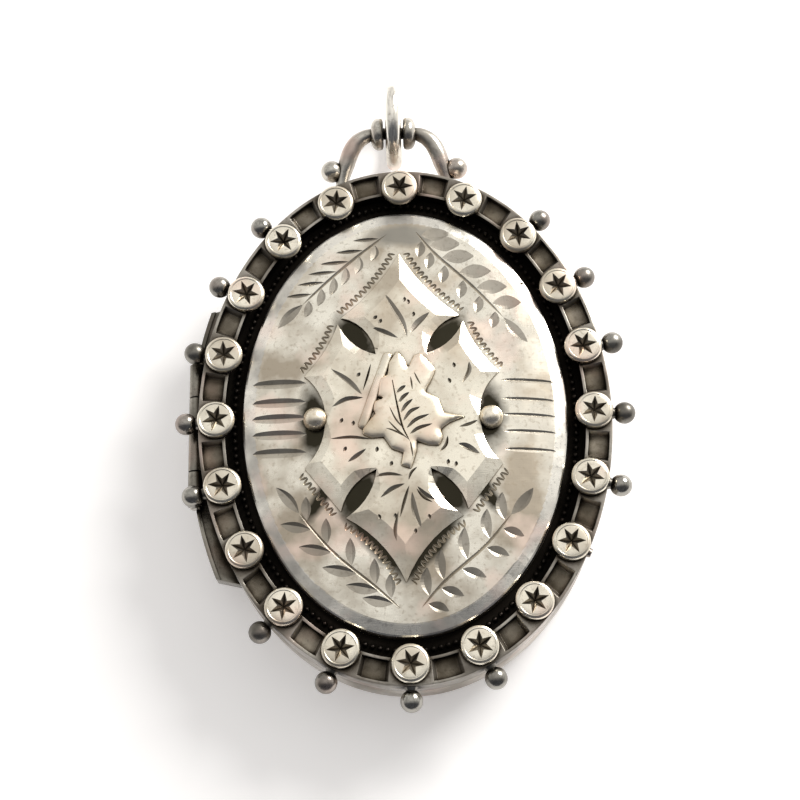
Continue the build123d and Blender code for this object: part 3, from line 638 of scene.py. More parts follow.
def carve(mesh, cutter_bm, cut_material=None):
    """Takes the strokes out of a mesh with a Boolean modifier."""
    bmesh.ops.triangulate(cutter_bm, faces=cutter_bm.faces)
    bmesh.ops.recalc_face_normals(cutter_bm, faces=cutter_bm.faces)
    metal_bm = bmesh.new()
    metal_bm.from_mesh(mesh)
    bmesh.ops.triangulate(metal_bm, faces=metal_bm.faces)
    metal_bm.to_mesh(mesh)
    metal_bm.free()
    cutter_mesh = bpy.data.meshes.new("strokes")
    cutter_bm.to_mesh(cutter_mesh)
    cutter_bm.free()
    cutter_mesh.materials.append(cut_material or cut_silver)
    cutter = bpy.data.objects.new("strokes", cutter_mesh)
    metal = bpy.data.objects.new("metal", mesh)
    for thing in (cutter, metal):
        bpy.context.scene.collection.objects.link(thing)
    modifier = metal.modifiers.new("cut", "BOOLEAN")
    modifier.operation = "DIFFERENCE"
    modifier.solver = "EXACT"
    modifier.use_self = True
    modifier.material_mode = "TRANSFER"
    modifier.object = cutter
    bpy.context.view_layer.update()
    seen = metal.evaluated_get(bpy.context.evaluated_depsgraph_get())
    result = bpy.data.meshes.new_from_object(seen)
    for thing in (cutter, metal):
        bpy.data.objects.remove(thing)
    return result


print("graver ready:", len(wedge.vertices), "points in the wedge")

# %% [markdown]
# ## The boss
# The boss is a shallow dome with a wide bright bevel. Turned on a lathe it would be
# round, so we spin its section once and then pull it out to an oval. The dome must be
# closed below, because a Boolean needs a solid.

# %% Model the blank of the boss
dome_rings = 16
profile = [(boss_x, channel_floor + 0.02 * mm), (boss_x, boss_edge - 0.05 * mm),
           (boss_x - 0.03 * mm, boss_edge + 0.12 * mm), (boss_x - 0.12 * mm, boss_edge + 0.24 * mm),
           (boss_x - 0.26 * mm, boss_edge + 0.32 * mm), (crown_x + 0.08 * mm, boss_shoulder - 0.03 * mm),
           (crown_x - 0.05 * mm, crown_height(crown_x - 0.05 * mm, 0))]
for ring in range(1, dome_rings):
    radius = (crown_x - 0.05 * mm) * (1 - ring / dome_rings)
    profile.append((radius, crown_height(radius, 0)))
profile += [(0, crown_top), (0, boss_shoulder - 0.5 * mm), (crown_x - 0.7 * mm, channel_floor + 0.5 * mm),
            (crown_x - 0.7 * mm, channel_floor + 0.02 * mm)]
bm = spin_ring(profile, 144)
to_oval(bm, boss_x, boss_y, crown_x)
for vert in bm.verts:
    if hypot(vert.co.x / boss_x, vert.co.y / boss_y) > 0.93 and vert.co.z > boss_edge - 0.1 * mm:
        vert.co.z += 0.06 * mm * noise.noise(vert.co * 420)
bmesh.ops.recalc_face_normals(bm, faces=bm.faces)
boss_mesh = bpy.data.meshes.new("boss_blank")
bm.to_mesh(boss_mesh)
bm.free()
boss_mesh.materials.append(dome_silver)
print("boss blank:", len(boss_mesh.polygons), "faces")

# %% [markdown]
# Four fern sprays fill the corners. Each has a curved stem, leaves that lie level on
# its outer side, and leaves that stand upright on its inner side, towards the middle.
# They follow a rule, so a small function lays them along the stem. Five level grooves
# run in from each side, and a wriggled line follows the applied plate.

# %% Engrave the boss
plate_x = -0.2
plate_arcs = (
    ((0, 15.75), (2.4, 12.2), (5.45, 9.35)),
    ((5.45, 9.35), (3.1, 7.75), (2.3, 5.5)),
    ((2.3, 5.5), (4.35, 6.7), (5.75, 8.75)),
    ((5.75, 8.75), (7.0, 6.1), (8.85, 3.8)),
    ((8.85, 3.8), (7.4, 1.9), (6.95, -0.5)),
    ((6.95, -0.5), (7.4, -2.8), (8.85, -4.9)),
    ((8.85, -4.9), (7.05, -7.2), (5.65, -8.95)),
    ((5.65, -8.95), (4.4, -6.6), (2.4, -5.3)),
    ((2.4, -5.3), (3.2, -7.6), (5.2, -9.55)),
    ((5.2, -9.55), (2.35, -11.75), (0, -15.4)),
)


def spray(stems, leaves, stem, outer_way, inner_way, outer_leaf, inner_leaf, pairs,
          outer_lean, inner_lean):
    """A stem with leaves. Ways are angles in degrees, a leaf is (length, width) in mm."""
    stroke(stems, stem, 0.30, 0.13, crown_height, 0, 0.35)
    sides = ((outer_way, outer_leaf, 0.0, outer_lean), (inner_way, inner_leaf, 0.06, inner_lean))
    for index in range(pairs):
        share = 0.06 + 0.80 * index / (pairs - 1)
        for way, leaf, later, lean in sides:
            root, _ = curve_through(stem, min(share + later, 1))
            length = leaf[0] * (1 - 0.25 * abs(index / (pairs - 1) - 0.5))
            along = Vector((cos(radians(way)), sin(radians(way))))
            start = root + along * 0.25
            bend = Vector((-along.y, along.x)) * 0.12 * leaf[1]
            middle_point = start + along * length / 2 + bend
            blade = (start, middle_point, start + along * length)
            stroke(leaves, blade, leaf[1], 0.13, crown_height, lean, 0.8)
    root, along = curve_through(stem, 1)
    blade = [root + along * reach for reach in (0.05, 1.6, 3.2)]
    stroke(leaves, blade, 1.0, 0.15, crown_height, outer_lean, 0.8)


stems = bmesh.new()
leaves = bmesh.new()
spray(stems, leaves, ((-1.3, 17.9), (-4.3, 15.5), (-6.7, 13.4), (-9.2, 11.0)),
      183, 258, (2.7, 0.42), (1.9, 0.8), 6, 0.5, -0.5)
spray(stems, leaves, ((1.4, 18.1), (3.2, 15.7), (6.4, 12.5), (9.3, 9.2)),
      3, 258, (3.0, 1.45), (1.9, 0.95), 6, 0.6, 0.5)
spray(stems, leaves, ((-0.8, -17.6), (-3.0, -15.6), (-6.6, -12.5), (-9.6, -8.9)),
      168, 92, (3.1, 1.0), (2.4, 0.9), 5, 0.5, 0.5)
spray(stems, leaves, ((1.1, -17.6), (3.2, -15.3), (6.8, -12.3), (9.2, -9.5)),
      -20, 93, (2.2, 0.95), (2.8, 1.0), 5, 0.6, -0.5)
for height in (3.2, 1.4, -0.1, -1.65, -3.35):
    stroke(stems, ((-14.0, height + 0.1), (-8.9, height)), 0.90, 0.22, crown_height, -0.15, 0.4)
    stroke(stems, ((13.7, height - 0.35), (8.8, height - 0.15)), 0.46, 0.13, crown_height, 0.2, 0.4)
stroke(stems, ((10.95, 12.7), (11.35, 12.72)), 0.40, 0.30, crown_height, 0, 0.5)
boss_mesh = carve(boss_mesh, stems, wriggle_silver)
boss_mesh = carve(boss_mesh, leaves)
print("boss with sprays and grooves:", len(boss_mesh.polygons), "faces")

# %% [markdown]
# The wriggled line comes from rocking a flat graver from corner to corner as it moves
# forward. Each rock leaves a short slanted cut. The cuts follow the plate's outer arcs,
# a little way outside them.

# %% Wriggle along the plate
wriggle_gap = 0.62
wriggle_pitch = 0.30


def three_point_arc(start, middle_point, end, count):
    """Places along the arc through three points."""
    a, b, c = (Vector(p) for p in (start, middle_point, end))
    aa, bb, cc = a.length_squared, b.length_squared, c.length_squared
    d = 2 * (a.x * (b.y - c.y) + b.x * (c.y - a.y) + c.x * (a.y - b.y))
    centre = Vector(((aa * (b.y - c.y) + bb * (c.y - a.y) + cc * (a.y - b.y)) / d,
                     (aa * (c.x - b.x) + bb * (a.x - c.x) + cc * (b.x - a.x)) / d))
    from_turn = atan2(a.y - centre.y, a.x - centre.x)
    sweep = atan2(c.y - centre.y, c.x - centre.x) - from_turn
    sweep = (sweep + pi) % (2 * pi) - pi
    radius = (a - centre).length
    return [centre + radius * Vector((cos(from_turn + sweep * k / count), sin(from_turn + sweep * k / count)))
            for k in range(count + 1)]


wriggles = bmesh.new()
for index in (0, 3, 6, 9):
    arc = plate_arcs[index]
    length = (Vector(arc[2]) - Vector(arc[0])).length
    count = int(length / wriggle_pitch)
    places = three_point_arc(*arc, count)
    for mirror in (1, -1):
        for k in range(1, count):
            way = (places[k + 1] - places[k - 1]).normalized()
            out = Vector((-way.y, way.x))
            if out.dot(places[k]) < 0:
                out = -out
            step = places[k] + out * wriggle_gap
            rock = way * (0.11 if k % 2 else -0.11)
            ends = [step - out * 0.34 - rock, step + out * 0.34 + rock]
            ends = [(p.x * mirror + plate_x, p.y) for p in ends]
            stroke(wriggles, ends, 0.22, 0.12, crown_height, 0, 0.5)
boss_mesh = carve(boss_mesh, wriggles, wriggle_silver)
print("boss with its wriggled line:", len(boss_mesh.polygons), "faces")

# %% [markdown]
# A mirror-like dome shows the smallest error in its shading. The Boolean leaves long
# thin faces between the cuts, and Blender's averaged normals would ripple there. We
# know the dome's true direction at every point, so we write it into the mesh for each
# face that belongs to the dome, and leave the walls of the cuts flat.

# %% Give the dome its true normals


def dome_normal(point):
    """The direction that the dome faces."""
    stretch = crown_y / crown_x
    return Vector((point.x, point.y / stretch**2, point.z - crown_top + crown_sphere)).normalized()


def true_normals(mesh, lift):
    """Shades the faces that lie on the dome, or on a sheet over it, as the dome itself."""
    for polygon in mesh.polygons:
        polygon.use_smooth = True
    normals = [Vector((0, 0, 0))] * len(mesh.loops)
    for polygon in mesh.polygons:
        centre = polygon.center
        on_dome = (abs(centre.z - crown_height(centre.x, centre.y) - lift) < 0.04 * mm
                   and polygon.normal.dot(dome_normal(centre)) > 0.995)
        for loop in polygon.loop_indices:
            point = mesh.vertices[mesh.loops[loop].vertex_index].co
            normals[loop] = dome_normal(point) if on_dome else polygon.normal.copy()
    mesh.normals_split_custom_set(normals)


true_normals(boss_mesh, 0)
print("boss shaded as a true dome")

# %% [markdown]
# The bevel round the dome stands free, and every cloth that passes rubs it. Its metal
# is a little greyer than the dome's and hardly any black stays on it.

# %% Give the bevel its own silver
boss_mesh.materials.append(bevel_silver)
for face in boss_mesh.polygons:
    beyond_crown = hypot(face.center.x / crown_x, face.center.y / crown_y) > 1
    if beyond_crown and face.normal.z > 0.3 and face.material_index == 0:
        face.material_index = len(boss_mesh.materials) - 1
finish_mesh(boss_mesh, "engraved_boss", "front", [dome_silver], ["boss"])

# %% [markdown]
# ## The applied plate
# Six leaves were sawn from one piece of sheet, domed to sit on the boss and soldered
# down. We draw the right half with arcs, mirror it, pull it up into a solid, cut it into
# a coarse grid so that it can bend, and press it onto the dome.

# %% Model the blank of the plate
def on_plate(x, y):
    """Height of the plate's top."""
    return crown_height(x, y) + plate_thickness


def press(bm, low, high):
    """Bends a flat slab between two heights above the dome."""
    heights = [v.co.z for v in bm.verts]
    flat_low, flat_high = min(heights), max(heights)
    for vert in bm.verts:
        share = (vert.co.z - flat_low) / (flat_high - flat_low)
        vert.co.z = crown_height(vert.co.x, vert.co.y) + low + (high - low) * share


def slab(outline, thickness, grid):
    """An outline in millimetres, as a solid with a grid on it."""
    bm = bmesh.new()
    corners = [bm.verts.new((x * mm, y * mm, 0)) for x, y in outline]
    edges = [bm.edges.new(pair) for pair in zip(corners, corners[1:] + corners[:1])]
    face = bmesh.ops.contextual_create(bm, geom=edges)["faces"]
    raised = bmesh.ops.extrude_face_region(bm, geom=face)["geom"]
    verts = [g for g in raised if isinstance(g, bmesh.types.BMVert)]
    bmesh.ops.translate(bm, verts=verts, vec=(0, 0, thickness))
    for axis in (0, 1):
        places = [p[axis] * mm for p in outline]
        slice_up(bm, min(places), max(places), grid, axis)
    bmesh.ops.recalc_face_normals(bm, faces=bm.faces)
    return bm


half = []
for arc in plate_arcs:
    half += three_point_arc(*arc, 7)[:-1]
outline = [(p.x + plate_x, p.y) for p in half] + [(plate_x, plate_arcs[-1][2][1])]
outline += [(plate_x - p.x, p.y) for p in reversed(half[1:])]
bm = slab(outline, plate_thickness, 1.6 * mm)
press(bm, 0, plate_thickness)
plate_mesh = bpy.data.meshes.new("plate_blank")
bm.to_mesh(plate_mesh)
bm.free()
plate_mesh.materials.append(plate_silver)
print("plate blank:", len(plate_mesh.polygons), "faces")

# %% [markdown]
# The graver then took a broad facet off every edge of every leaf. Two facets meet in a
# ridge that runs to the leaf's tip. A facet is the same wedge again, laid along the
# outline: it passes right over a tip, and fades out where two leaves join.

# %% Cut the facets of the leaves


def facet(bm, arc, width, depth, fade_start, fade_end, mirror):
    """A sloping facet along one arc of the outline."""
    places = three_point_arc(*arc, 10)
    length = sum((b - a).length for a, b in zip(places, places[1:]))
    over = 0.5 / length
    first = len(bm.verts)
    bm.from_mesh(wedge)
    bm.verts.ensure_lookup_table()
    for vert in bm.verts[first:]:
        share = vert.co.y
        swell = 1.0
        if fade_start:
            swell = min(swell, 0.15 + 2.8 * share)
        if fade_end:
            swell = min(swell, 0.15 + 2.8 * (1 - share))
        start = 0.0 if fade_start else -over
        end = 1.0 if fade_end else 1 + over
        along = start + (end - start) * share
        inside = min(max(along, 0), 1) * 10
        index = min(int(inside), 9)
        place = places[index].lerp(places[index + 1], inside - index)
        way = (places[index + 1] - places[index]).normalized()
        place = place + way * (along - inside / 10) * length
        inner = Vector((way.y, -way.x))
        steep = depth / width
        if vert.co.x < -0.1:
            offset, drop = (width + 0.12) * swell, 0.12 * steep * swell
        elif vert.co.x > 0.1:
            offset, drop = -0.6, 0.5
        else:
            offset, drop = -0.6, -(depth + 0.6 * steep) * swell
        cut = place + inner * offset
        x, y = (cut.x * mirror + plate_x) * mm, cut.y * mm
        vert.co = (x, y, on_plate(x, y) + drop * mm)


facet_cuts = (  # width and depth in millimetres, fades at its start, fades at its end
    (1.5, 0.40, False, False),
    (0.9, 0.28, False, True),
    (0.8, 0.28, True, False),
    (1.3, 0.38, False, False),
    (1.1, 0.36, False, True),
    (0.8, 0.26, True, False),
    (1.5, 0.42, False, False),
    (0.9, 0.28, False, True),
    (0.8, 0.28, True, False),
    (1.6, 0.42, False, False),
)
facets = bmesh.new()
for mirror in (1, -1):
    for arc, (width, depth, fade_start, fade_end) in zip(plate_arcs, facet_cuts):
        facet(facets, arc, width, depth, fade_start, fade_end, mirror)
plate_mesh = carve(plate_mesh, facets, plate_silver)
print("plate with facets:", len(plate_mesh.polygons), "faces")

# %% [markdown]
# Each leaf gets its veins, and here and there a small nick that catches the light.
# A vein is two strokes side by side where the engraver went over it twice.

# %% Engrave the leaves
veins = bmesh.new()
for points, width in (
        (((-1.6, 11.5), (-0.8, 10.2), (0.05, 8.6), (0.4, 7.1)), 0.55),
        (((0.65, 7.5), (1.3, 8.5), (2.45, 9.5)), 0.60),
        (((-2.9, 8.2), (-1.7, 7.75), (-0.45, 7.05)), 0.45),
        (((-6.55, 4.25), (-4.95, 3.05), (-3.8, 1.7)), 0.50),
        (((-6.5, 0.65), (-5.25, 1.35), (-3.7, 1.4)), 0.45),
        (((-2.95, 4.6), (-3.25, 3.4), (-3.7, 2.05)), 0.22),
        (((5.95, 4.6), (5.95, 3.7), (5.3, 2.6)), 0.42),
        (((-5.15, -4.55), (-4.4, -4.0), (-3.5, -3.4)), 0.40),
        (((-6.7, -2.35), (-4.8, -2.25), (-2.95, -2.55)), 0.30),
        (((-3.1, -6.0), (-1.6, -5.75), (-0.3, -5.95)), 0.32),
        (((0.25, -6.9), (-0.15, -8.2), (-0.6, -9.7)), 0.30),
        (((-0.75, -9.2), (-1.05, -11.0), (-0.75, -12.3)), 0.35),
        (((0.5, -7.5), (0.75, -9.2), (1.3, -10.9)), 0.55),
        (((-2.3, -7.9), (-1.3, -7.1), (-0.15, -6.7)), 0.42),
        (((1.0, -7.0), (1.7, -7.7), (2.6, -8.2)), 0.42),
        (((0.9, -7.2), (1.5, -7.95), (2.3, -8.45)), 0.25),
        (((0.2, -6.4), (0.45, -5.7), (1.0, -5.2)), 0.25),
        (((4.75, -3.1), (5.6, -3.4), (6.6, -4.05)), 0.60),
        (((3.05, -3.85), (3.6, -3.2), (3.8, -2.4)), 0.30),
        (((4.85, -1.55), (5.7, -1.3), (6.55, -0.95)), 0.30)):
    stroke(veins, points, width, 0.17, on_plate, 0.5, 0.7)
nicks = (  # x and y in millimetres, direction in degrees
    (0.2, 10.85, 80), (0.55, 10.6, 95), (1.0, 9.35, 80), (-2.5, 9.15, 40), (-2.05, 8.75, 60),
    (-4.1, 3.6, 50), (4.55, 4.3, 100), (4.1, 2.8, 110), (-5.4, -3.35, 60), (-4.65, -1.0, 70),
    (-5.7, -0.7, 60), (-2.55, -3.5, 80), (-1.3, -4.85, 70), (-2.45, -9.65, 100), (-1.05, -9.6, 80),
    (1.95, -9.75, 95), (0.7, -11.0, 75), (3.75, -4.8, 80), (4.45, -5.0, 80),
)
for x, y, way in nicks:
    way = Vector((cos(radians(way)), sin(radians(way)))) * 0.26
    stroke(veins, ((x - way.x, y - way.y), (x + way.x, y + way.y)), 0.34, 0.17, on_plate, 0.4, 0.7)
plate_mesh = carve(plate_mesh, veins)
true_normals(plate_mesh, plate_thickness)
finish_mesh(plate_mesh, "leaf_plate", "front", [plate_silver], ["applique_plate"])

# %% [markdown]
# ## Berries, twig and ivy leaf
# Two berries sit where the side leaves meet. They are balls flattened where they are
# soldered down. The twig is a half-round rod: a ball whose two halves are moved apart.

# %% Model the berries and the twig
berry_radius = 1.08 * mm
bm = bmesh.new()
for x, y in ((-8.05 * mm, -0.4 * mm), (7.75 * mm, -0.6 * mm)):
    foot = crown_height(x, y)
    place = Matrix.Translation((x, y, foot + berry_radius / 3))
    made = bmesh.ops.create_uvsphere(bm, u_segments=36, v_segments=24, radius=berry_radius, matrix=place)
    ball = made["verts"] + list({e for v in made["verts"] for e in v.link_edges})
    ball += list({f for v in made["verts"] for f in v.link_faces})
    bmesh.ops.bisect_plane(bm, geom=ball, plane_co=(0, 0, foot - 0.05 * mm), plane_no=(0, 0, 1),
                           clear_inner=True)
finish_piece(bm, "berry_pair", "front", [leaf_silver], ["berries"])

twig_start, twig_end = Vector((-1.3, 5.6)) * mm, Vector((-3.9, -1.6)) * mm
twig_radius = 0.45 * mm
twig_half = (twig_end - twig_start).length / 2 - twig_radius
bm = bmesh.new()
bmesh.ops.create_uvsphere(bm, u_segments=24, v_segments=25, radius=twig_radius)
bmesh.ops.rotate(bm, verts=bm.verts, cent=(0, 0, 0), matrix=Matrix.Rotation(pi / 2, 3, "X"))
for vert in bm.verts:
    vert.co.y += twig_half if vert.co.y > 0 else -twig_half
slice_up(bm, -twig_half, twig_half, 0.5 * mm, 1)
lean = atan2(twig_start.x - twig_end.x, twig_start.y - twig_end.y)
bmesh.ops.rotate(bm, verts=bm.verts, cent=(0, 0, 0), matrix=Matrix.Rotation(-lean, 3, "Z"))
centre = (twig_start + twig_end) / 2
for vert in bm.verts:
    vert.co.x += centre.x
    vert.co.y += centre.y
    vert.co.z = on_plate(vert.co.x, vert.co.y) + vert.co.z * 0.62
finish_piece(bm, "twig_rod", "front", [plate_silver], ["twig"])

# %% [markdown]
# The ivy leaf is thicker than the plate and looks like a small cushion. Its height
# grows with the distance from the edge, as if it had been pushed up from behind. A
# grid fine enough to carry that shape is laid over the outline first.

# %% Model the ivy leaf
leaf_thickness = 0.5 * mm
leaf_round = 0.95
ivy_outline = (
    (-1.45, 3.45), (-1.3, 4.6), (-0.55, 5.65), (0.05, 4.9), (0.4, 4.1),
    (1.0, 5.2), (1.6, 5.4), (2.85, 3.85), (2.35, 2.6), (1.9, 1.7),
    (3.05, 1.1), (3.5, -0.25), (5.4, -0.65), (4.05, -1.2), (3.2, -1.85),
    (3.35, -2.6), (3.0, -3.3), (2.0, -3.25), (1.05, -2.9), (1.0, -3.7),
    (0.45, -5.35), (-0.4, -5.05), (-0.2, -3.95), (-1.2, -3.55), (-1.9, -2.45),
    (-3.0, -2.5), (-3.75, -2.1), (-3.7, -1.5), (-2.65, -0.25), (-2.8, 0.1),
    (-2.7, 0.85), (-2.0, 1.2), (-2.35, 1.4), (-2.15, 3.0),
)
corners = [Vector(p) for p in ivy_outline]
smooth_outline = []
for k in range(len(corners)):
    p0, p1, p2, p3 = (corners[(k + j) % len(corners)] for j in (-1, 0, 1, 2))
    for t in (0, 0.33, 0.67):
        smooth_outline.append(p1.lerp(p2, t) + 0.5 * t * (1 - t) * ((p1 - p0) * (1 - t) - (p3 - p2) * t
                              + (p2 - p1) * (2 * t - 1)) * 0.3)
edge_from = np.array([list(p) for p in smooth_outline])
edge_to = np.roll(edge_from, -1, axis=0)


def leaf_height(x, y):
    """Height of the ivy leaf's cushion top."""
    here = np.array([x, y]) / mm
    run = edge_to - edge_from
    share = np.clip(((here - edge_from) * run).sum(1) / (run**2).sum(1), 0, 1)
    from_edge = float(np.hypot(*(edge_from + run * share[:, None] - here).T).min())
    slope = min(from_edge / leaf_round, 1)
    return on_plate(x, y) + leaf_thickness * (0.40 + 0.60 * sqrt(1 - (1 - slope) ** 2))


bm = slab([tuple(p) for p in smooth_outline], leaf_thickness, 0.17 * mm)
for vert in bm.verts:
    x, y = vert.co.x, vert.co.y
    vert.co.z = leaf_height(x, y) if vert.co.z > leaf_thickness / 2 else on_plate(x, y)
ivy_mesh = bpy.data.meshes.new("ivy_blank")
bm.to_mesh(ivy_mesh)
bm.free()
ivy_mesh.materials.append(leaf_silver)
leaf_veins = bmesh.new()
stroke(leaf_veins, ((0.42, -3.0), (-0.2, -1.6), (-0.6, 0.2), (-1.1, 3.2)), 0.20, 0.16, leaf_height, 0, 0.5)
for points in (((-0.7, 1.55), (-0.25, 2.0), (0.15, 2.25)), ((-0.55, 0.6), (-0.1, 1.2), (0.45, 1.6)),
               ((-0.35, -0.35), (0.1, 0.4), (0.75, 0.95)), ((-0.15, -1.1), (0.5, -0.2), (1.4, 0.2)),
               ((0.15, -1.75), (1.0, -0.95), (2.2, -0.5)), ((0.45, -2.3), (1.2, -1.75), (2.45, -1.4))):
    stroke(leaf_veins, points, 0.34, 0.18, leaf_height, 0.5, 0.6)
for points in (((0.3, -2.8), (-0.7, -1.9), (-1.5, -1.0)), ((0.1, -2.6), (-0.9, -2.0), (-1.7, -1.7)),
               ((-0.1, -1.8), (-0.8, -0.9), (-1.35, 0.3)), ((0.75, 1.85), (0.7, 2.4), (0.6, 3.1)),
               ((1.5, 2.3), (1.2, 2.9), (0.95, 3.5)), ((0.65, -4.4), (0.55, -3.6), (0.45, -3.0))):
    stroke(leaf_veins, points, 0.16, 0.10, leaf_height, 0, 0.6)
ivy_mesh = carve(ivy_mesh, leaf_veins)
for polygon in ivy_mesh.polygons:
    polygon.use_smooth = True
ivy_mesh.set_sharp_from_angle(angle=radians(32))
finish_mesh(ivy_mesh, "ivy_cushion", "front", [leaf_silver], ["ivy_leaf"])

# %% [markdown]
# ## Studs
# Each stud is a short stem with a flat head, turned in one go. A star with six arms is
# sunk in its head by a pyramid whose foot is a star. The head is made and cut once, then
# copied to all twenty seats, each turned differently, because they were set by hand.

# %% Model the studs
stud_foot = seat_top
stud_top = seat_top + 0.85 * mm
profile = [(0.95, 0), (0.95, 0.20), (1.58, 0.20), (1.68, 0.24), (1.72, 0.32), (1.72, 0.50), (1.69, 0.64),
           (1.62, 0.75), (1.52, 0.82), (1.42, 0.85), (1.36, 0.81), (1.28, 0.83), (0.9, 0.85), (0, 0.85)]
bm = spin_ring([(radius * mm, stud_foot + height * mm) for radius, height in profile] + [(0, stud_foot)], 48)
bmesh.ops.recalc_face_normals(bm, faces=bm.faces)
stud_mesh = bpy.data.meshes.new("stud_blank")
bm.to_mesh(stud_mesh)
bm.free()
stud_mesh.materials.append(stud_silver)
star = bmesh.new()
star_depth = 0.5 * mm
bmesh.ops.create_cone(star, cap_ends=True, segments=12, radius1=0, radius2=1, depth=1)
for vert in star.verts:
    if vert.co.z > 0:
        arm = round((atan2(vert.co.y, vert.co.x)) / (pi / 6)) % 2
        reach = (0.55 if arm else 1.32) * mm * 1.25
        vert.co = (vert.co.x * reach, vert.co.y * reach, stud_top + 0.25 * star_depth)
    else:
        vert.co = (0, 0, stud_top - star_depth)
stud_mesh = carve(stud_mesh, star, star_silver)

bm = bmesh.new()
for index in range(stud_count):
    turn = oval_turn(index / stud_count)
    first = len(bm.verts)
    bm.from_mesh(stud_mesh)
    bm.verts.ensure_lookup_table()
    star_turn = Matrix.Rotation(radians(index * 137 % 60), 4, "Z")
    place = Matrix.Translation((stud_line_x * sin(turn), stud_line_y * cos(turn), 0))
    bmesh.ops.transform(bm, matrix=place @ star_turn, verts=bm.verts[first:])
finish_piece(bm, "star_stud_set", "front", [stud_silver, star_silver], ["star_studs"], 25)

# %% [markdown]
# ## Edge beads
# Beads on short necks stand out of the rim opposite most of the studs. One has broken
# off and left a rough stump.

# %% Model the edge beads
bead_radius = 1.0 * mm
bead_neck = 0.2 * mm
bead_height = seat_top - 0.75 * mm


def rim_place(index):
    """The rim opposite a stud, and the way out from it."""
    turn = oval_turn(index / stud_count)
    x, y = stud_line_x * sin(turn), stud_line_y * cos(turn)
    way = Vector((sin(turn) / stud_line_x, cos(turn) / stud_line_y, 0)).normalized()
    a = (way.x / rim_x) ** 2 + (way.y / rim_y) ** 2
    b = 2 * (x * way.x / rim_x**2 + y * way.y / rim_y**2)
    c = (x / rim_x) ** 2 + (y / rim_y) ** 2 - 1
    out = (-b + sqrt(b * b - 4 * a * c)) / (2 * a)
    return Vector((x + way.x * out, y + way.y * out, bead_height)), way


bm = bmesh.new()
for index in (2, 3, 4, 5, 6, 9, 10, 11, 12, 14, 15, 16, 17, 18):
    foot, way = rim_place(index)
    facing = way.to_track_quat("Z", "Y").to_matrix().to_4x4()
    bmesh.ops.create_uvsphere(bm, u_segments=28, v_segments=18, radius=bead_radius,
                              matrix=Matrix.Translation(foot + way * (bead_neck + bead_radius)) @ facing)
    bmesh.ops.create_cone(bm, segments=20, radius1=0.62 * mm, radius2=0.46 * mm, depth=bead_neck + 0.2 * mm,
                          matrix=Matrix.Translation(foot + way * (bead_neck + 0.1 * mm) / 2) @ facing)
finish_piece(bm, "bead_row", "front", [bead_silver], ["edge_beads"])

foot, way = rim_place(7)
bm = bmesh.new()
bmesh.ops.create_cone(bm, cap_ends=True, segments=18, radius1=0.45 * mm, radius2=0.38 * mm, depth=0.34 * mm)
ends = [f for f in bm.faces if f.normal.z > 0.9]
bmesh.ops.poke(bm, faces=ends)
for vert in bm.verts:
    if vert.co.z > 0:
        vert.co.z -= 0.14 * mm * abs(noise.noise(vert.co * 4000))
facing = way.to_track_quat("Z", "Y").to_matrix().to_4x4()
bmesh.ops.transform(bm, matrix=Matrix.Translation(foot + way * 0.17 * mm) @ facing, verts=bm.verts)
finish_piece(bm, "broken_bead", "front", [bead_silver], ["bead_stub"])

# %% [markdown]
# ## Bail and ring
# The bail is a wire bent into an arch. It is thickest in the middle of its legs, where
# it was not hammered. A curve with a round section does this well: every point of the
# curve has a radius of its own.

# %% Model the bail
bail_x = (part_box("bail_arch")[0].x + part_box("bail_arch")[1].x) / 2
bar_y = 29.4 * mm
bar_z = 6.0 * mm
wire_radius = 0.55 * mm
leg = (  # x, y, z and the radius of the wire there, as a share of wire_radius
    (0, bar_y, bar_z, 1),
    (1.9 * mm, bar_y, bar_z, 1.05),
    (2.8 * mm, bar_y - 0.2 * mm, bar_z - 0.15 * mm, 1.3),
    (3.6 * mm, bar_y - 0.75 * mm, bar_z - 0.3 * mm, 1.45),
    (4.2 * mm, bar_y - 1.7 * mm, bar_z - 0.5 * mm, 1.5),
    (4.6 * mm, bar_y - 2.8 * mm, bar_z - 0.8 * mm, 1.45),
    (5.0 * mm, bar_y - 4.2 * mm, bar_z - 1.2 * mm, 1.15),
    (5.15 * mm, 23.25 * mm, 4.25 * mm, 0.95),
)
curve = bpy.data.curves.new("bail_wire", "CURVE")
curve.dimensions = "3D"
curve.bevel_depth = wire_radius
curve.bevel_resolution = 6
curve.use_fill_caps = True
curve.resolution_u = 6
spline = curve.splines.new("BEZIER")
points = [(-x, y, z, r) for x, y, z, r in reversed(leg[1:])] + list(leg)
spline.bezier_points.add(len(points) - 1)
for point, (x, y, z, r) in zip(spline.bezier_points, points):
    point.co = (bail_x + x, y, z)
    point.radius = r
    point.handle_left_type = point.handle_right_type = "AUTO"
holder = bpy.data.objects.new("bail_wire", curve)
bpy.context.scene.collection.objects.link(holder)
bpy.context.view_layer.update()
wire_mesh = bpy.data.meshes.new_from_object(holder.evaluated_get(bpy.context.evaluated_depsgraph_get()))
bpy.data.objects.remove(holder)
bm = bmesh.new()
bm.from_mesh(wire_mesh)
finish_piece(bm, "bail_wire_arch", "back", [bail_silver], ["bail_arch"], 50)

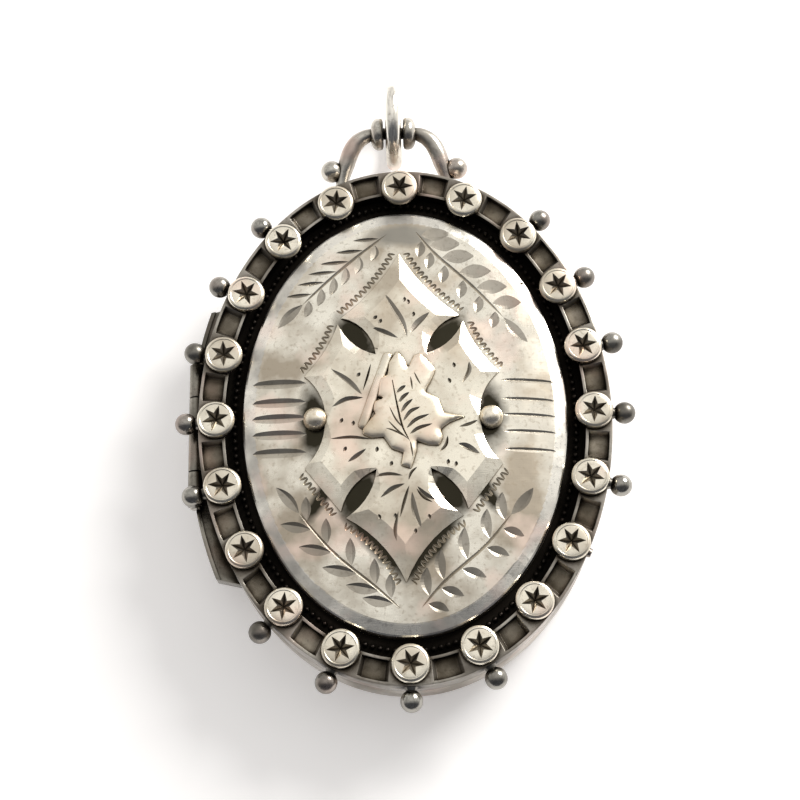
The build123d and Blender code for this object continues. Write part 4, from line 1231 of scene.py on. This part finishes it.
bm = bmesh.new()
collar = [(0.50, 0), (1.15, 0), (1.42, 0.08), (1.54, 0.26), (1.55, 0.55), (1.48, 0.80),
          (1.30, 1.00), (1.05, 1.13), (0.80, 1.2), (0.50, 1.2)]
for side in (1, -1):
    first = len(bm.verts)
    spun = spin_ring([(radius * mm, height * mm) for radius, height in collar], 40)
    along = Matrix.Rotation(side * pi / 2, 4, "Y")
    bmesh.ops.transform(spun, matrix=Matrix.Translation((bail_x + side * 0.95 * mm, bar_y, bar_z)) @ along,
                        verts=spun.verts)
    collar_mesh = bpy.data.meshes.new("collar")
    spun.to_mesh(collar_mesh)
    spun.free()
    bm.from_mesh(collar_mesh)
finish_piece(bm, "bail_collar_pair", "back", [bail_silver], ["bail_collars"])

ball_low, ball_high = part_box("bail_foot_balls")
ball_radius = 1.05 * mm
bm = bmesh.new()
for x in (ball_low.x + ball_radius, ball_high.x - ball_radius):
    bmesh.ops.create_uvsphere(bm, u_segments=32, v_segments=22, radius=ball_radius,
                              matrix=Matrix.Translation((x, 26.0 * mm, ball_high.z - ball_radius)))
finish_piece(bm, "bail_ball_pair", "back", [bail_silver], ["bail_foot_balls"])

# %% [markdown]
# The jump ring is plain round wire, closed with a butt joint that still shows as a
# thin line. It is a circle spun round another: the section stands beside the axis.

# %% Model the jump ring
ring_low, ring_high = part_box("jump_ring")
ring_centre = (ring_low + ring_high) / 2
ring_wire = (ring_high.x - ring_low.x) / 2
ring_reach = (ring_high.y - ring_low.y) / 2 - ring_wire
bm = bmesh.new()
section = bmesh.ops.create_circle(bm, segments=24, radius=ring_wire)["verts"]
bmesh.ops.rotate(bm, verts=section, cent=(0, 0, 0), matrix=Matrix.Rotation(pi / 2, 3, "X"))
bmesh.ops.translate(bm, verts=section, vec=(0, 0, ring_reach))
bmesh.ops.spin(bm, geom=bm.verts[:] + bm.edges[:], cent=(0, 0, 0), axis=(1, 0, 0), angle=2 * pi, steps=120,
               use_merge=True)
bmesh.ops.remove_doubles(bm, verts=bm.verts, dist=0.0005 * mm)
joint = radians(150)
for vert in bm.verts:
    turn = atan2(vert.co.y, vert.co.z)
    if abs(turn - joint) < radians(1.6):
        middle_line = Vector((0, sin(turn), cos(turn))) * ring_reach
        vert.co = middle_line + (vert.co - middle_line) * 0.94
bmesh.ops.translate(bm, verts=bm.verts, vec=ring_centre)
finish_piece(bm, "jump_ring_wire", "ring", [ring_silver], ["jump_ring"], 40)

# %% [markdown]
# ## Rounded edges for the plain parts
# The covers, knuckles, rims and frames have the right shape in the CAD model already.
# Real metal has no perfectly sharp edge, though, and a sharp edge in a render never
# catches light. So these parts are taken over, and their edges are broken.

# %% Break the edges


def soft_copy(node, name, body, material, width, segments=2, height=1.0):
    """A copy of a CAD part with broken edges. height scales it about its middle."""
    source = bpy.data.objects[node]
    bm = bmesh.new()
    bm.from_mesh(source.data)
    bmesh.ops.transform(bm, matrix=source.matrix_world, verts=bm.verts)
    bmesh.ops.remove_doubles(bm, verts=bm.verts, dist=0.0005 * mm)
    bmesh.ops.dissolve_limit(bm, angle_limit=radians(0.5), verts=bm.verts, edges=bm.edges)
    middle_z = (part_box(node)[0].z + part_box(node)[1].z) / 2
    bmesh.ops.scale(bm, vec=(1, 1, height), verts=bm.verts, space=Matrix.Translation((0, 0, -middle_z)))
    soften(bm, width, segments, 40)
    return finish_piece(bm, name, body, [material], [node])


soft_copy("hinge_bearer", "hinge_crescent", "back", hinge_silver, 0.08 * mm)
soft_copy("back_knuckles", "outer_knuckles", "back", hinge_silver, 0.07 * mm)
soft_copy("front_knuckle", "middle_knuckle", "front", hinge_silver, 0.07 * mm)
soft_copy("hinge_pin", "riveted_pin", "back", pin_silver, 0.07 * mm)
soft_copy("back_cover", "back_shell", "back", aged_silver, 0.12 * mm, 3)
shell = soft_copy("front_cover", "front_shell", "front", wall_silver, 0.08 * mm)
shell.data.materials.append(black_silver)
for polygon in shell.data.polygons:
    if polygon.center.z > channel_floor - 0.05 * mm and polygon.normal.z > 0.9:
        polygon.material_index = 1
soft_copy("snap_rim", "snap_band", "back", inner_silver, 0.08 * mm)
soft_copy("back_bezel", "back_frame", "back", inner_silver, 0.08 * mm)
soft_copy("front_bezel", "front_frame", "front", inner_silver, 0.08 * mm)

# %% [markdown]
# ## What stays as it is
# The inner plates and cards are flat sheets that the frames hold. They keep their CAD
# shape and only get a surface. The glasses are a hair thinner here than in the model:
# where two faces lie in one plane, a renderer can't tell which it should show.

# %% Paper and glass
w = Wiring("plain_card")
fibre = w.noise(2200, 4, (1, 2.5, 1))
stain = w.between(w.noise(140, 4), 0.42, 0.68)
paper = w.blend(stain, (0.80, 0.74, 0.62), (0.62, 0.52, 0.38))
paper = w.blend(w.between(fibre, 0.4, 0.7, 0, 0.25), paper, (0.50, 0.43, 0.33))
w.links.new(paper, w.shader.inputs["Base Color"])
w.shader.inputs["Roughness"].default_value = 0.9
w.links.new(w.bump(fibre, 0.4, 0.03 * mm), w.shader.inputs["Normal"])
card_paper = w.material

w = Wiring("thin_glass")
w.shader.inputs["Base Color"].default_value = (0.95, 0.97, 0.96, 1)
w.shader.inputs["Metallic"].default_value = 1.0
dust = w.between(w.noise(900, 4), 0.55, 0.8, 0.02, 0.14)
w.links.new(dust, w.shader.inputs["Roughness"])
w.links.new(w.bump(w.noise(300, 1), 0.06, 0.05 * mm), w.shader.inputs["Normal"])
mirrored = w.add("ShaderNodeFresnel", IOR=1.5).outputs[0]
w.links.new(w.math("ADD", mirrored, w.between(dust, 0.02, 0.14, 0.01, 0.05)), w.shader.inputs["Alpha"])
thin_glass = w.material

for node, material in (("back_inner_plate", aged_silver), ("front_inner_plate", aged_silver),
                       ("back_card", card_paper), ("front_card", card_paper)):
    mesh = bpy.data.objects[node].data
    mesh.materials.clear()
    mesh.materials.append(material)
soft_copy("back_glass", "back_pane", "back", thin_glass, 0.04 * mm, 1, 0.9)
soft_copy("front_glass", "front_pane", "front", thin_glass, 0.04 * mm, 1, 0.9)
